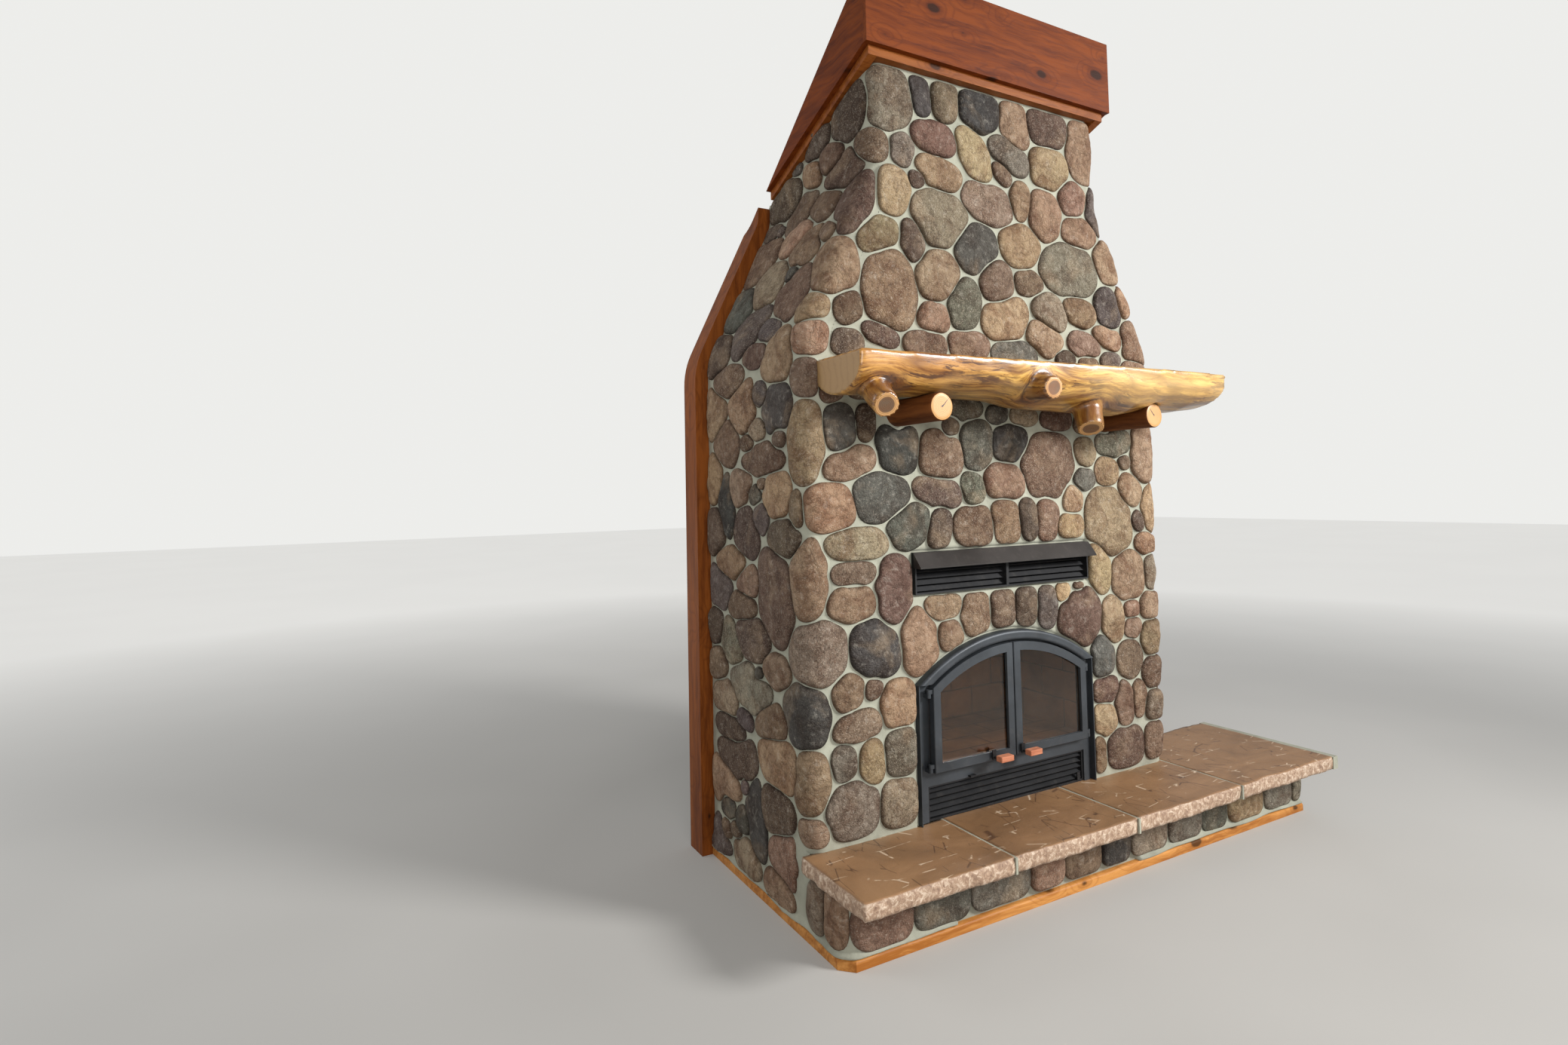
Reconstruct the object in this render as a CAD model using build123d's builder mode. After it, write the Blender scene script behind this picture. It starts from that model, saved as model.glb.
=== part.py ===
from build123d import *

import os
from math import atan2, cos, hypot, pi, radians, sin, sqrt, tan

# River-stone fireplace with a raised hearth, a half-log mantel and an arched steel insert.
# Millimetres, +Z up. The origin is on the floor at the centre of the chimney breast's footprint.
# The fireplace looks along -Y, and its back stands against a wall at +Y.

os.makedirs("parts", exist_ok=True)

# Chimney breast, measured to the mortar face between the stones
breast_width = 1720
breast_depth = 880
shoulder_height = 1950
shoulder_rise = 640
neck_width = 1110
shoulder_radius = 260
neck_radius = 180
stone_proud = 37
corner_radius = 45

# Sloping ceiling that the fireplace runs up to
ceiling_at_wall = 2580
ceiling_pitch = 0.75

# Hearth
plinth_height = 225
plinth_projection = 185
plinth_corner = 30
slab_thickness = 53
slab_depth = 610
slab_overhang = 175
slab_side_overhang = 51
slab_lengths = (580, 575, 589, 627)
slab_joint = 8
slab_end_joint = 33
grout_recess = 2
trim_thickness = 20
trim_height = 32
trim_round = 12

# Arched opening in the masonry
insert_width = 868
insert_spring = 482
arch_rise = 149
masonry_clearance = 0.3
insert_depth = 500

# Heat outlet above the arch
vent_height = 147
vent_gap = 163
vent_depth = 110
vent_proud = 20
vent_wall = 6
vent_mullion = 12
vent_rim_depth = 40
vent_back_sheet = 2
vent_slats = 6
vent_slat_width = 20
vent_slat_angle = 50
hood_reach = 40
hood_drop = 50
hood_sheet = 4
hood_lap = 6

# Steel face of the insert
plate_setback = 9
plate_thickness = 6
raised_face = 6
column_gap = 15
column_width = 30
bottom_panel_height = 47
return_sheet = 4
return_depth = 26
arch_hood_width = 36
arch_hood_depth = 38
arch_hood_round = 11

# Lower grille
grille_height = 122
grille_rim = 8
grille_depth = 26
grille_slats = 5
slat_width = 22
slat_thickness = 3
slat_angle = 35

# Doors
door_side_gap = 8
door_top_gap = 7
door_bottom_gap = 6
door_standoff = 9
door_thickness = 25
door_meeting_gap = 5
door_rail = 31
door_edge_chamfer = 2
door_lap = 12
glass_thickness = 5
glass_rebate = 6
glass_rebate_depth = 14
glass_play = 0.3

# Hinges: a pin on a lug of the frame carries a knuckle of the door
hinge_radius = 8
hinge_pin_radius = 3
hinge_half_height = 14
hinge_pin_rise = 12
hinge_running_gap = 0.5
pin_clearance = 0.1
hinge_offset = 12
hinge_front_inset = 13
hinge_low_rise = 17
hinge_high_drop = 19

# Latches: a spindle through the door, an arm outside, a cam inside and a block grip
latch_left_x = -118
latch_right_x = 24
spindle_radius = 5
latch_gap = 5
latch_arm_width = 16
latch_arm_thickness = 5
latch_arm_rise = 26
cam_thickness = 3
cam_gap = 1
cam_length = 22
tang_radius = 4
tang_length = 13
grip_length = 60
grip_height = 20
grip_depth = 30
grip_overhang = 6
grip_chamfer = 2

# Firebox
firebox_wall = 38
firebox_floor_thickness = 40
firebox_back_thickness = 40

# Air controls on the grille
lever_inset = 196
slide_inset = 30
lever_width = 26
lever_height = 6
lever_reach = 14
slide_height = 30
slide_width = 16
slide_thickness = 4

# Mantel and the short logs under it
mantel_top = 1875
mantel_back_flat = 36
mantel_front_edge = 8
mantel_flats = 12
mantel_fullness = 0.8
corbel_radius = 48
corbel_reach = 250
corbel_socket = 100
corbel_arris = 2
corbel_z = 1709
corbel_left_x = -485
corbel_right_x = 568

# Timber trims under the ceiling and beside the breast
fascia_thickness = 22
fascia_end_gap = 65
header_height = 276.5
header_projection = 42
strip_drop = 33
strip_lap = 35
scribe_width = 65
scribe_depth = 120

# Places worked out from the sizes above
half_breast = breast_width / 2
half_neck = neck_width / 2
front_y = -breast_depth / 2
back_y = breast_depth / 2
hearth_z = plinth_height + slab_thickness
shoulder_lean = atan2(half_breast - half_neck, shoulder_rise)
plinth_front_y = front_y - plinth_projection
slab_left_x = -half_breast - slab_side_overhang
plinth_right_x = slab_left_x + sum(slab_lengths) + slab_joint * (len(slab_lengths) - 1) + slab_end_joint
slab_front_y = plinth_front_y - slab_overhang
slab_back_y = slab_front_y + slab_depth
half_insert = insert_width / 2
half_opening = half_insert + masonry_clearance
insert_back_y = front_y + insert_depth
spring_z = hearth_z + insert_spring
crown_z = spring_z + arch_rise
arch_radius = (half_insert**2 + arch_rise**2) / (2 * arch_rise)
arch_centre_z = crown_z - arch_radius
vent_bottom = crown_z + vent_gap
vent_top = vent_bottom + vent_height
plate_back_y = front_y + plate_setback
plate_front_y = plate_back_y - plate_thickness
face_y = plate_front_y - raised_face
column_outer = half_insert - column_gap
column_inner = column_outer - column_width
grille_top = hearth_z + grille_height
panel_top = grille_top + bottom_panel_height
door_half = column_inner - door_side_gap
door_bottom = panel_top + door_bottom_gap
door_radius = arch_radius - arch_hood_width - door_top_gap
door_back_y = face_y - door_standoff
door_front_y = door_back_y - door_thickness
mouth_half = door_half - door_lap
mouth_radius = door_radius - door_lap
mouth_bottom = door_bottom + door_lap
hinge_x = door_half + hinge_offset
hinge_y = door_front_y + hinge_front_inset
hinge_heights = (
    door_bottom + hinge_low_rise,
    arch_centre_z + sqrt(door_radius**2 - door_half**2) - hinge_high_drop,
)
header_back_y = front_y - header_projection
header_front_y = header_back_y - fascia_thickness
fascia_inner = half_neck + stone_proud
fascia_outer = fascia_inner + fascia_thickness
scribe_front_y = back_y - scribe_depth


def ceiling_z(y):
    """Height of the sloping ceiling above a point at y."""
    return ceiling_at_wall + ceiling_pitch * (back_y - y)


header_bottom = ceiling_z(header_back_y) - header_height


def facing(y):
    """Sketch plane that faces the room at y: sketch X is X, sketch Y is Z, and it extrudes to -Y."""
    return Plane.XZ.offset(-y)


def save(piece, name):
    """Labels a finished piece and writes it as its own file."""
    piece.part.label = name
    export_step(piece.part, f"parts/{name}.step")


def arc_z(x, radius):
    """Height of the arch of a given radius at x."""
    return arch_centre_z + sqrt(radius**2 - x**2)


def arched(bottom, half, radius):
    """Upright outline with straight sides and an arched top, drawn round the insert's arch centre."""
    with BuildSketch(Plane.XY) as outline:
        with BuildLine():
            Polyline((-half, arc_z(half, radius)), (-half, bottom), (half, bottom), (half, arc_z(half, radius)))
            ThreePointArc(
                (half, arc_z(half, radius)),
                (0, arc_z(0, radius)),
                (-half, arc_z(half, radius)),
            )
        make_face()
    return outline.sketch


def door_outline(side, inset):
    """Outline of one door leaf, set in from its edges."""
    meeting = door_meeting_gap / 2 + inset
    outer = door_half - inset
    middle = (meeting + outer) / 2
    radius = door_radius - inset
    with BuildSketch(Plane.XY) as outline:
        with BuildLine():
            Polyline(
                (side * meeting, arc_z(meeting, radius)),
                (side * meeting, door_bottom + inset),
                (side * outer, door_bottom + inset),
                (side * outer, arc_z(outer, radius)),
            )
            ThreePointArc(
                (side * outer, arc_z(outer, radius)),
                (side * middle, arc_z(middle, radius)),
                (side * meeting, arc_z(meeting, radius)),
            )
        make_face()
    return outline.sketch


def breast_outline(bottom, extra):
    """Front outline of the chimney breast from bottom up, grown outwards by extra."""
    rise = extra * tan(shoulder_lean / 2)
    top = ceiling_z(front_y)
    with BuildSketch(Plane.XY) as outline:
        with BuildLine():
            FilletPolyline(
                (half_breast + extra, bottom),
                (half_breast + extra, shoulder_height + rise),
                (half_neck + extra, shoulder_height + shoulder_rise + rise),
                (half_neck + extra, top),
                radius=[shoulder_radius + extra, neck_radius - extra],
            )
            Line((half_neck + extra, top), (0, top))
            Line((half_breast + extra, bottom), (0, bottom))
            mirror(about=Plane.YZ)
        make_face()
    return outline.sketch


def under_ceiling(y_front, y_back, bottom):
    """Side outline of what the ceiling cuts off, between two places along Y."""
    with BuildSketch(Plane.XY) as outline:
        with BuildLine():
            Polyline(
                (y_back, bottom),
                (y_front, bottom),
                (y_front, ceiling_z(y_front)),
                (y_back, ceiling_z(y_back)),
                close=True,
            )
        make_face()
    return outline.sketch


# Chimney base, stepped at the front for the hearth slabs
with BuildPart() as chimney_base:
    with BuildSketch(Plane.YZ.offset(-half_breast)):
        with BuildLine():
            Polyline(
                (back_y, 0),
                (front_y, 0),
                (front_y, plinth_height),
                (slab_back_y, plinth_height),
                (slab_back_y, hearth_z),
                (back_y, hearth_z),
                close=True,
            )
        make_face()
    extrude(amount=breast_width)
save(chimney_base, "chimney_base")

# Plinth that carries the hearth slabs, with its free front corner cut off
with BuildPart() as hearth_plinth:
    with BuildSketch():
        with BuildLine():
            Polyline(
                (-half_breast, front_y),
                (-half_breast, plinth_front_y + plinth_corner),
                (-half_breast + plinth_corner, plinth_front_y),
                (plinth_right_x, plinth_front_y),
                (plinth_right_x, slab_back_y),
                (half_breast, slab_back_y),
                (half_breast, front_y),
                close=True,
            )
        make_face()
    extrude(amount=plinth_height)
save(hearth_plinth, "hearth_plinth")

# Piers each side of the insert
pier_width = half_breast - half_opening
for side, pier_name in ((-1, "left_pier"), (1, "right_pier")):
    with BuildPart() as pier:
        with BuildSketch(Plane.XY.offset(hearth_z)):
            with Locations((side * (half_opening + pier_width / 2), 0)):
                Rectangle(pier_width, breast_depth)
        extrude(amount=vent_top - hearth_z)
        front_arrises = pier.edges().filter_by(Axis.Z).group_by(Axis.Y)[0].sort_by(Axis.X)
        fillet(front_arrises[0 if side < 0 else -1], corner_radius)
    save(pier, pier_name)

# Masonry behind the firebox, up to the springing of the arch
with BuildPart() as firebox_backing:
    with BuildSketch(Plane.XY.offset(hearth_z)):
        with Locations((0, (insert_back_y + back_y) / 2)):
            Rectangle(2 * half_opening, back_y - insert_back_y)
    extrude(amount=insert_spring)
save(firebox_backing, "firebox_backing")

# Masonry over the insert: an arch below and a rebate for the heat outlet above
opening_outline = arched(hearth_z, half_opening, arch_radius + masonry_clearance)
with BuildPart() as arch_head:
    with BuildSketch(facing(back_y)):
        with Locations((0, (spring_z + vent_top) / 2)):
            Rectangle(2 * half_opening, vent_top - spring_z)
    extrude(amount=breast_depth)
    with BuildSketch(facing(insert_back_y)):
        add(opening_outline)
    extrude(amount=insert_depth, mode=Mode.SUBTRACT)
    with BuildSketch(facing(front_y + vent_depth)):
        with Locations((0, (vent_bottom + vent_top) / 2)):
            Rectangle(2 * half_opening, vent_height)
    extrude(amount=vent_depth, mode=Mode.SUBTRACT)
save(arch_head, "arch_head")

# Upper breast: shoulders that narrow to the neck, cut off by the ceiling, with sockets for the corbels
upper_outline = breast_outline(vent_top, 0)
ceiling_cut = under_ceiling(front_y, back_y, vent_top)
with BuildPart() as chimney_breast:
    with BuildSketch(facing(back_y)):
        add(upper_outline)
    extrude(amount=breast_depth)
    with BuildSketch(Plane.YZ.offset(-half_breast)):
        add(ceiling_cut)
    extrude(amount=breast_width, mode=Mode.INTERSECT)
    with BuildSketch(facing(front_y + corbel_socket)):
        with Locations((corbel_left_x, corbel_z), (corbel_right_x, corbel_z)):
            Circle(corbel_radius + masonry_clearance)
    extrude(amount=corbel_socket, mode=Mode.SUBTRACT)
    front_edges = chimney_breast.faces().sort_by(Axis.Y)[0].outer_wire().edges()
    fillet([edge for edge in front_edges if abs(edge.center().X) > half_neck - 1], corner_radius)
save(chimney_breast, "chimney_breast")

# Hearth slabs, left to right, the first one notched where the breast passes it
slab_starts = [slab_left_x]
for slab_length in slab_lengths:
    slab_starts.append(slab_starts[-1] + slab_length + slab_joint)
for index, slab_length in enumerate(slab_lengths):
    with BuildPart() as hearth_slab:
        with BuildSketch(Plane.XY.offset(plinth_height)):
            with Locations((slab_starts[index] + slab_length / 2, slab_front_y + slab_depth / 2)):
                Rectangle(slab_length, slab_depth)
            if index == 0:
                with Locations((-half_breast, slab_back_y)):
                    Rectangle(
                        slab_side_overhang,
                        slab_back_y - front_y,
                        align=(Align.MAX, Align.MAX),
                        mode=Mode.SUBTRACT,
                    )
        extrude(amount=slab_thickness)
    save(hearth_slab, f"hearth_slab_{index + 1}")

# Mortar in the joints between the slabs and at the wall end
with BuildPart() as slab_grout:
    for joint_start in slab_starts[1:]:
        joint_width = slab_end_joint if joint_start == slab_starts[-1] else slab_joint
        with BuildSketch(Plane.XY.offset(plinth_height)):
            with Locations((joint_start - slab_joint, slab_front_y + grout_recess)):
                Rectangle(joint_width, slab_depth - grout_recess, align=(Align.MIN, Align.MIN))
        extrude(amount=slab_thickness - grout_recess)
save(slab_grout, "slab_grout")

# Shoe moulding round the foot of the plinth and up the left side to the scribed board
trim_mitre = trim_thickness * tan(radians(45 / 2))
with BuildPart() as base_trim:
    with BuildSketch():
        with BuildLine():
            plinth_line = Polyline(
                (-half_breast, scribe_front_y),
                (-half_breast, plinth_front_y + plinth_corner),
                (-half_breast + plinth_corner, plinth_front_y),
                (plinth_right_x, plinth_front_y),
            )
            Polyline(
                (plinth_right_x, plinth_front_y),
                (plinth_right_x, plinth_front_y - trim_thickness),
                (-half_breast + plinth_corner - trim_mitre, plinth_front_y - trim_thickness),
                (-half_breast - trim_thickness, plinth_front_y + plinth_corner - trim_mitre),
                (-half_breast - trim_thickness, scribe_front_y),
                (-half_breast, scribe_front_y),
            )
        make_face()
    extrude(amount=trim_height)
    top_edges = base_trim.faces().sort_by(Axis.Z)[-1].edges()
    trim_wall = plinth_line.moved(Location((0, 0, trim_height)))
    outer_edges = [edge for edge in top_edges if trim_wall.distance_to(edge.center()) > 0.9 * trim_thickness]
    fillet(outer_edges, trim_round)
save(base_trim, "base_trim")

# Scribed boards that close the sides of the breast against the wall behind
board_outline = breast_outline(0, scribe_width)
board_inside = breast_outline(0, 0)
board_ceiling = under_ceiling(scribe_front_y, back_y, 0)
with BuildPart() as scribe_boards:
    with BuildSketch(facing(back_y)):
        add(board_outline)
        add(board_inside, mode=Mode.SUBTRACT)
    extrude(amount=scribe_depth)
    with BuildSketch(Plane.YZ.offset(-half_breast - scribe_width)):
        add(board_ceiling)
    extrude(amount=breast_width + 2 * scribe_width, mode=Mode.INTERSECT)
save(scribe_boards, "scribe_boards")

# Header: a wide board across the front under the ceiling
header_outline = under_ceiling(header_front_y, header_back_y, header_bottom)
with BuildPart() as header_board:
    with BuildSketch(Plane.YZ.offset(-fascia_outer)):
        add(header_outline)
    extrude(amount=2 * fascia_outer)
save(header_board, "header_board")

# Lighter strip on the stones under the header
with BuildPart() as header_strip:
    with BuildSketch(facing(front_y)):
        with Locations((0, header_bottom - strip_drop)):
            Rectangle(neck_width, strip_drop + strip_lap, align=(Align.CENTER, Align.MIN))
    extrude(amount=header_projection)
save(header_strip, "header_strip")

# Side boards: long wedges between the ceiling and a lower edge that meets it short of the scribed board
fascia_end_y = scribe_front_y - fascia_end_gap
with BuildPart() as side_boards:
    for board_x in (-fascia_outer, fascia_inner):
        with BuildSketch(Plane.YZ.offset(board_x)):
            with BuildLine():
                Polyline(
                    (header_back_y, header_bottom),
                    (header_back_y, ceiling_z(header_back_y)),
                    (fascia_end_y, ceiling_z(fascia_end_y)),
                    close=True,
                )
            make_face()
        extrude(amount=fascia_thickness)
save(side_boards, "side_boards")

# Lighter strips on the stones under the side boards
strip_fall = header_bottom - ceiling_z(fascia_end_y)
strip_ceiling = under_ceiling(header_back_y, back_y, 0)
with BuildPart() as side_strips:
    for strip_x in (-fascia_inner, half_neck):
        with BuildSketch(Plane.YZ.offset(strip_x)):
            with BuildLine():
                Polyline(
                    (header_back_y, header_bottom - strip_drop),
                    (header_back_y, header_bottom + strip_lap),
                    (fascia_end_y, header_bottom + strip_lap - strip_fall),
                    (fascia_end_y, header_bottom - strip_drop - strip_fall),
                    close=True,
                )
            make_face()
        extrude(amount=stone_proud)
    with BuildSketch(Plane.YZ.offset(-fascia_inner)):
        add(strip_ceiling)
    extrude(amount=2 * fascia_inner, mode=Mode.INTERSECT)
save(side_strips, "side_strips")

# Corbels: two short logs let into the masonry
for corbel_x, corbel_name in ((corbel_left_x, "left_corbel"), (corbel_right_x, "right_corbel")):
    with BuildPart() as corbel:
        with BuildSketch(facing(front_y + corbel_socket)):
            with Locations((corbel_x, corbel_z)):
                Circle(corbel_radius)
        extrude(amount=corbel_socket + corbel_reach)
        chamfer(corbel.faces().sort_by(Axis.Y)[0].edges(), corbel_arris)
    save(corbel, corbel_name)

# Mantel: a half log with a sawn top and a belly hewn in flats that swells and thins along its length,
# three sawn-off branches, and seats cut for the corbels. Each section is its X, depth and drop.
mantel_sections = (
    (-820, 285, 132),
    (-620, 292, 126),
    (-350, 302, 124),
    (-180, 310, 130),
    (-60, 316, 152),
    (200, 330, 160),
    (410, 338, 168),
    (580, 340, 142),
    (740, 342, 146),
    (905, 335, 128),
)
mantel_branches = (
    ((-705, -600, 1788), (-0.30, -0.84, -0.45), 44, 205),
    ((-75, -640, 1799), (-0.10, -0.98, -0.15), 43, 165),
    ((235, -650, 1765), (-0.30, -0.40, -0.87), 50, 134),
)
branch_flare = 1.15


def belly(depth, drop):
    """Corners of the log's hewn underside, from the wall round to the front, for one section."""
    rise = (mantel_back_flat + mantel_front_edge) / 2
    corners = []
    for flat in range(1, mantel_flats):
        turn = pi * flat / mantel_flats
        reach = depth * (1 - cos(turn)) / 2
        corners.append((front_y - reach, mantel_top - rise - (drop - rise) * sin(turn) ** mantel_fullness))
    return corners


with BuildPart() as mantel_log:
    for section_x, depth, drop in mantel_sections:
        with BuildSketch(Plane.YZ.offset(section_x)):
            with BuildLine():
                Polyline(
                    (front_y - depth, mantel_top),
                    (front_y, mantel_top),
                    (front_y, mantel_top - mantel_back_flat),
                    *belly(depth, drop),
                    (front_y - depth, mantel_top - mantel_front_edge),
                    close=True,
                )
            make_face()
    loft(ruled=True)
    for branch_start, branch_direction, branch_radius, branch_length in mantel_branches:
        with Locations(Plane(origin=branch_start, z_dir=branch_direction)):
            Cone(
                branch_flare * branch_radius,
                branch_radius,
                branch_length,
                align=(Align.CENTER, Align.CENTER, Align.MIN),
            )
    with BuildSketch(facing(front_y)):
        with Locations((corbel_left_x, corbel_z), (corbel_right_x, corbel_z)):
            Circle(corbel_radius + masonry_clearance)
    extrude(amount=corbel_reach + 2 * corbel_radius, mode=Mode.SUBTRACT)
save(mantel_log, "mantel_log")

# Steel face of the insert: a plate with the door mouth and the grille cut out, two raised columns,
# a raised panel under the doors and a return sheet along each jamb
plate_outline = arched(hearth_z, half_insert, arch_radius)
mouth_outline = arched(mouth_bottom, mouth_half, mouth_radius)
with BuildPart() as insert_surround:
    with BuildSketch(facing(plate_back_y)):
        add(plate_outline)
        add(mouth_outline, mode=Mode.SUBTRACT)
        with Locations((0, hearth_z)):
            Rectangle(
                2 * column_inner,
                grille_height,
                align=(Align.CENTER, Align.MIN),
                mode=Mode.SUBTRACT,
            )
    extrude(amount=plate_thickness)
    with BuildSketch(facing(plate_front_y)):
        for side in (-1, 1):
            with Locations((side * (column_inner + column_width / 2), hearth_z)):
                Rectangle(column_width, insert_spring, align=(Align.CENTER, Align.MIN))
        with Locations((0, grille_top)):
            Rectangle(2 * column_inner, bottom_panel_height, align=(Align.CENTER, Align.MIN))
    extrude(amount=raised_face)
    with BuildSketch(facing(plate_front_y)):
        for side in (-1, 1):
            with Locations((side * (half_insert - return_sheet / 2), hearth_z)):
                Rectangle(return_sheet, insert_spring, align=(Align.CENTER, Align.MIN))
    extrude(amount=return_depth)
save(insert_surround, "insert_surround")

# Raised hood over the arch
hood_inside = arched(hearth_z, half_insert - arch_hood_width, arch_radius - arch_hood_width)
with BuildPart() as arch_hood:
    with BuildSketch(facing(plate_front_y)):
        add(plate_outline)
        add(hood_inside, mode=Mode.SUBTRACT)
        with Locations((0, spring_z)):
            Rectangle(
                insert_width,
                insert_spring + door_rail,
                align=(Align.CENTER, Align.MAX),
                mode=Mode.SUBTRACT,
            )
    extrude(amount=arch_hood_depth)
    hood_front = arch_hood.faces().sort_by(Axis.Y)[0]
    fillet(hood_front.edges().filter_by(GeomType.CIRCLE), arch_hood_round)
save(arch_hood, "arch_hood")

# Lower grille: a rim with slanted slats
grille_middle_y = plate_front_y + grille_depth / 2
slat_pitch = (grille_height - 2 * grille_rim) / grille_slats
with BuildPart() as lower_grille:
    with BuildSketch(facing(plate_front_y + grille_depth)):
        with Locations((0, hearth_z + grille_height / 2)):
            Rectangle(2 * column_inner, grille_height)
            Rectangle(2 * (column_inner - grille_rim), grille_height - 2 * grille_rim, mode=Mode.SUBTRACT)
    extrude(amount=grille_depth)
    with BuildSketch(Plane.YZ.offset(-column_inner + grille_rim / 2)):
        for slat in range(grille_slats):
            with Locations((grille_middle_y, hearth_z + grille_rim + (slat + 0.5) * slat_pitch)):
                Rectangle(slat_width, slat_thickness, rotation=slat_angle)
    extrude(amount=2 * column_inner - grille_rim)
save(lower_grille, "lower_grille")

# Firebox: a floor, a back, two side walls and a vault that closes over them
chamber_half = half_insert - firebox_wall
chamber_back_y = insert_back_y - firebox_back_thickness
vault_radius = hypot(chamber_half, spring_z - arch_centre_z)
with BuildPart() as firebox_floor:
    with BuildSketch(Plane.XY.offset(mouth_bottom)):
        with Locations((0, (plate_back_y + chamber_back_y) / 2)):
            Rectangle(2 * chamber_half, chamber_back_y - plate_back_y)
    extrude(amount=-firebox_floor_thickness)
save(firebox_floor, "firebox_floor")

with BuildPart() as firebox_back:
    with BuildSketch(Plane.XY.offset(hearth_z)):
        with Locations((0, (chamber_back_y + insert_back_y) / 2)):
            Rectangle(2 * chamber_half, firebox_back_thickness)
    extrude(amount=insert_spring)
save(firebox_back, "firebox_back")

for side, wall_name in ((-1, "firebox_left_wall"), (1, "firebox_right_wall")):
    with BuildPart() as firebox_side:
        with BuildSketch(Plane.XY.offset(hearth_z)):
            with Locations((side * (half_insert - firebox_wall / 2), (plate_back_y + insert_back_y) / 2)):
                Rectangle(firebox_wall, insert_back_y - plate_back_y)
        extrude(amount=insert_spring)
    save(firebox_side, wall_name)

vault_inside = arched(hearth_z, chamber_half, vault_radius)
with BuildPart() as firebox_vault:
    with BuildSketch(facing(insert_back_y)):
        add(plate_outline)
        with Locations((0, spring_z)):
            Rectangle(insert_width, insert_spring, align=(Align.CENTER, Align.MAX), mode=Mode.SUBTRACT)
    extrude(amount=insert_back_y - plate_back_y)
    with BuildSketch(facing(chamber_back_y)):
        add(vault_inside)
    extrude(amount=chamber_back_y - plate_back_y, mode=Mode.SUBTRACT)
save(firebox_vault, "firebox_vault")

# Heat outlet: a sheet box let into the masonry, divided in two at its mouth
vent_front_y = front_y - vent_proud
vent_middle_z = (vent_bottom + vent_top) / 2
with BuildPart() as vent_frame:
    with BuildSketch(facing(front_y + vent_depth)):
        with Locations((0, vent_middle_z)):
            Rectangle(insert_width, vent_height)
            Rectangle(insert_width - 2 * vent_wall, vent_height - 2 * vent_wall, mode=Mode.SUBTRACT)
    extrude(amount=vent_depth + vent_proud)
    with BuildSketch(facing(front_y + vent_depth)):
        with Locations((0, vent_middle_z)):
            Rectangle(insert_width, vent_height)
    extrude(amount=vent_back_sheet)
    with BuildSketch(facing(vent_front_y + vent_rim_depth)):
        with Locations((0, vent_middle_z)):
            Rectangle(vent_mullion, vent_height - 2 * vent_wall)
    extrude(amount=vent_rim_depth)
save(vent_frame, "vent_frame")

# Louvres on each side of the outlet's mullion
bank_width = half_insert - vent_wall - vent_mullion / 2
vent_pitch = (vent_height - 2 * vent_wall) / vent_slats
with BuildPart() as vent_louvres:
    for bank_x in (vent_mullion / 2, -vent_mullion / 2 - bank_width):
        with BuildSketch(Plane.YZ.offset(bank_x)):
            for slat in range(vent_slats):
                slat_z = vent_bottom + vent_wall + (slat + 0.5) * vent_pitch
                with Locations((vent_front_y + vent_rim_depth / 2, slat_z)):
                    Rectangle(vent_slat_width, slat_thickness, rotation=vent_slat_angle)
        extrude(amount=bank_width)
save(vent_louvres, "vent_louvres")

# Sloping hood over the outlet, with a cheek at each end
hood_low_z = vent_top - hood_drop - hood_sheet
with BuildPart() as vent_hood:
    with BuildSketch(Plane.YZ.offset(-half_insert - hood_lap)):
        with BuildLine():
            Polyline(
                (vent_front_y, vent_top),
                (vent_front_y - hood_reach, vent_top - hood_drop),
                (vent_front_y - hood_reach, hood_low_z),
                (vent_front_y, hood_low_z),
                close=True,
            )
        make_face()
    extrude(amount=insert_width + 2 * hood_lap)
    with BuildSketch(Plane.YZ.offset(-half_insert - hood_lap + hood_sheet)):
        with BuildLine():
            Polyline(
                (vent_front_y, vent_top - hood_sheet),
                (vent_front_y - hood_reach, hood_low_z),
                (vent_front_y, hood_low_z),
                close=True,
            )
        make_face()
    extrude(amount=insert_width + 2 * (hood_lap - hood_sheet), mode=Mode.SUBTRACT)
save(vent_hood, "vent_hood")

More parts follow.
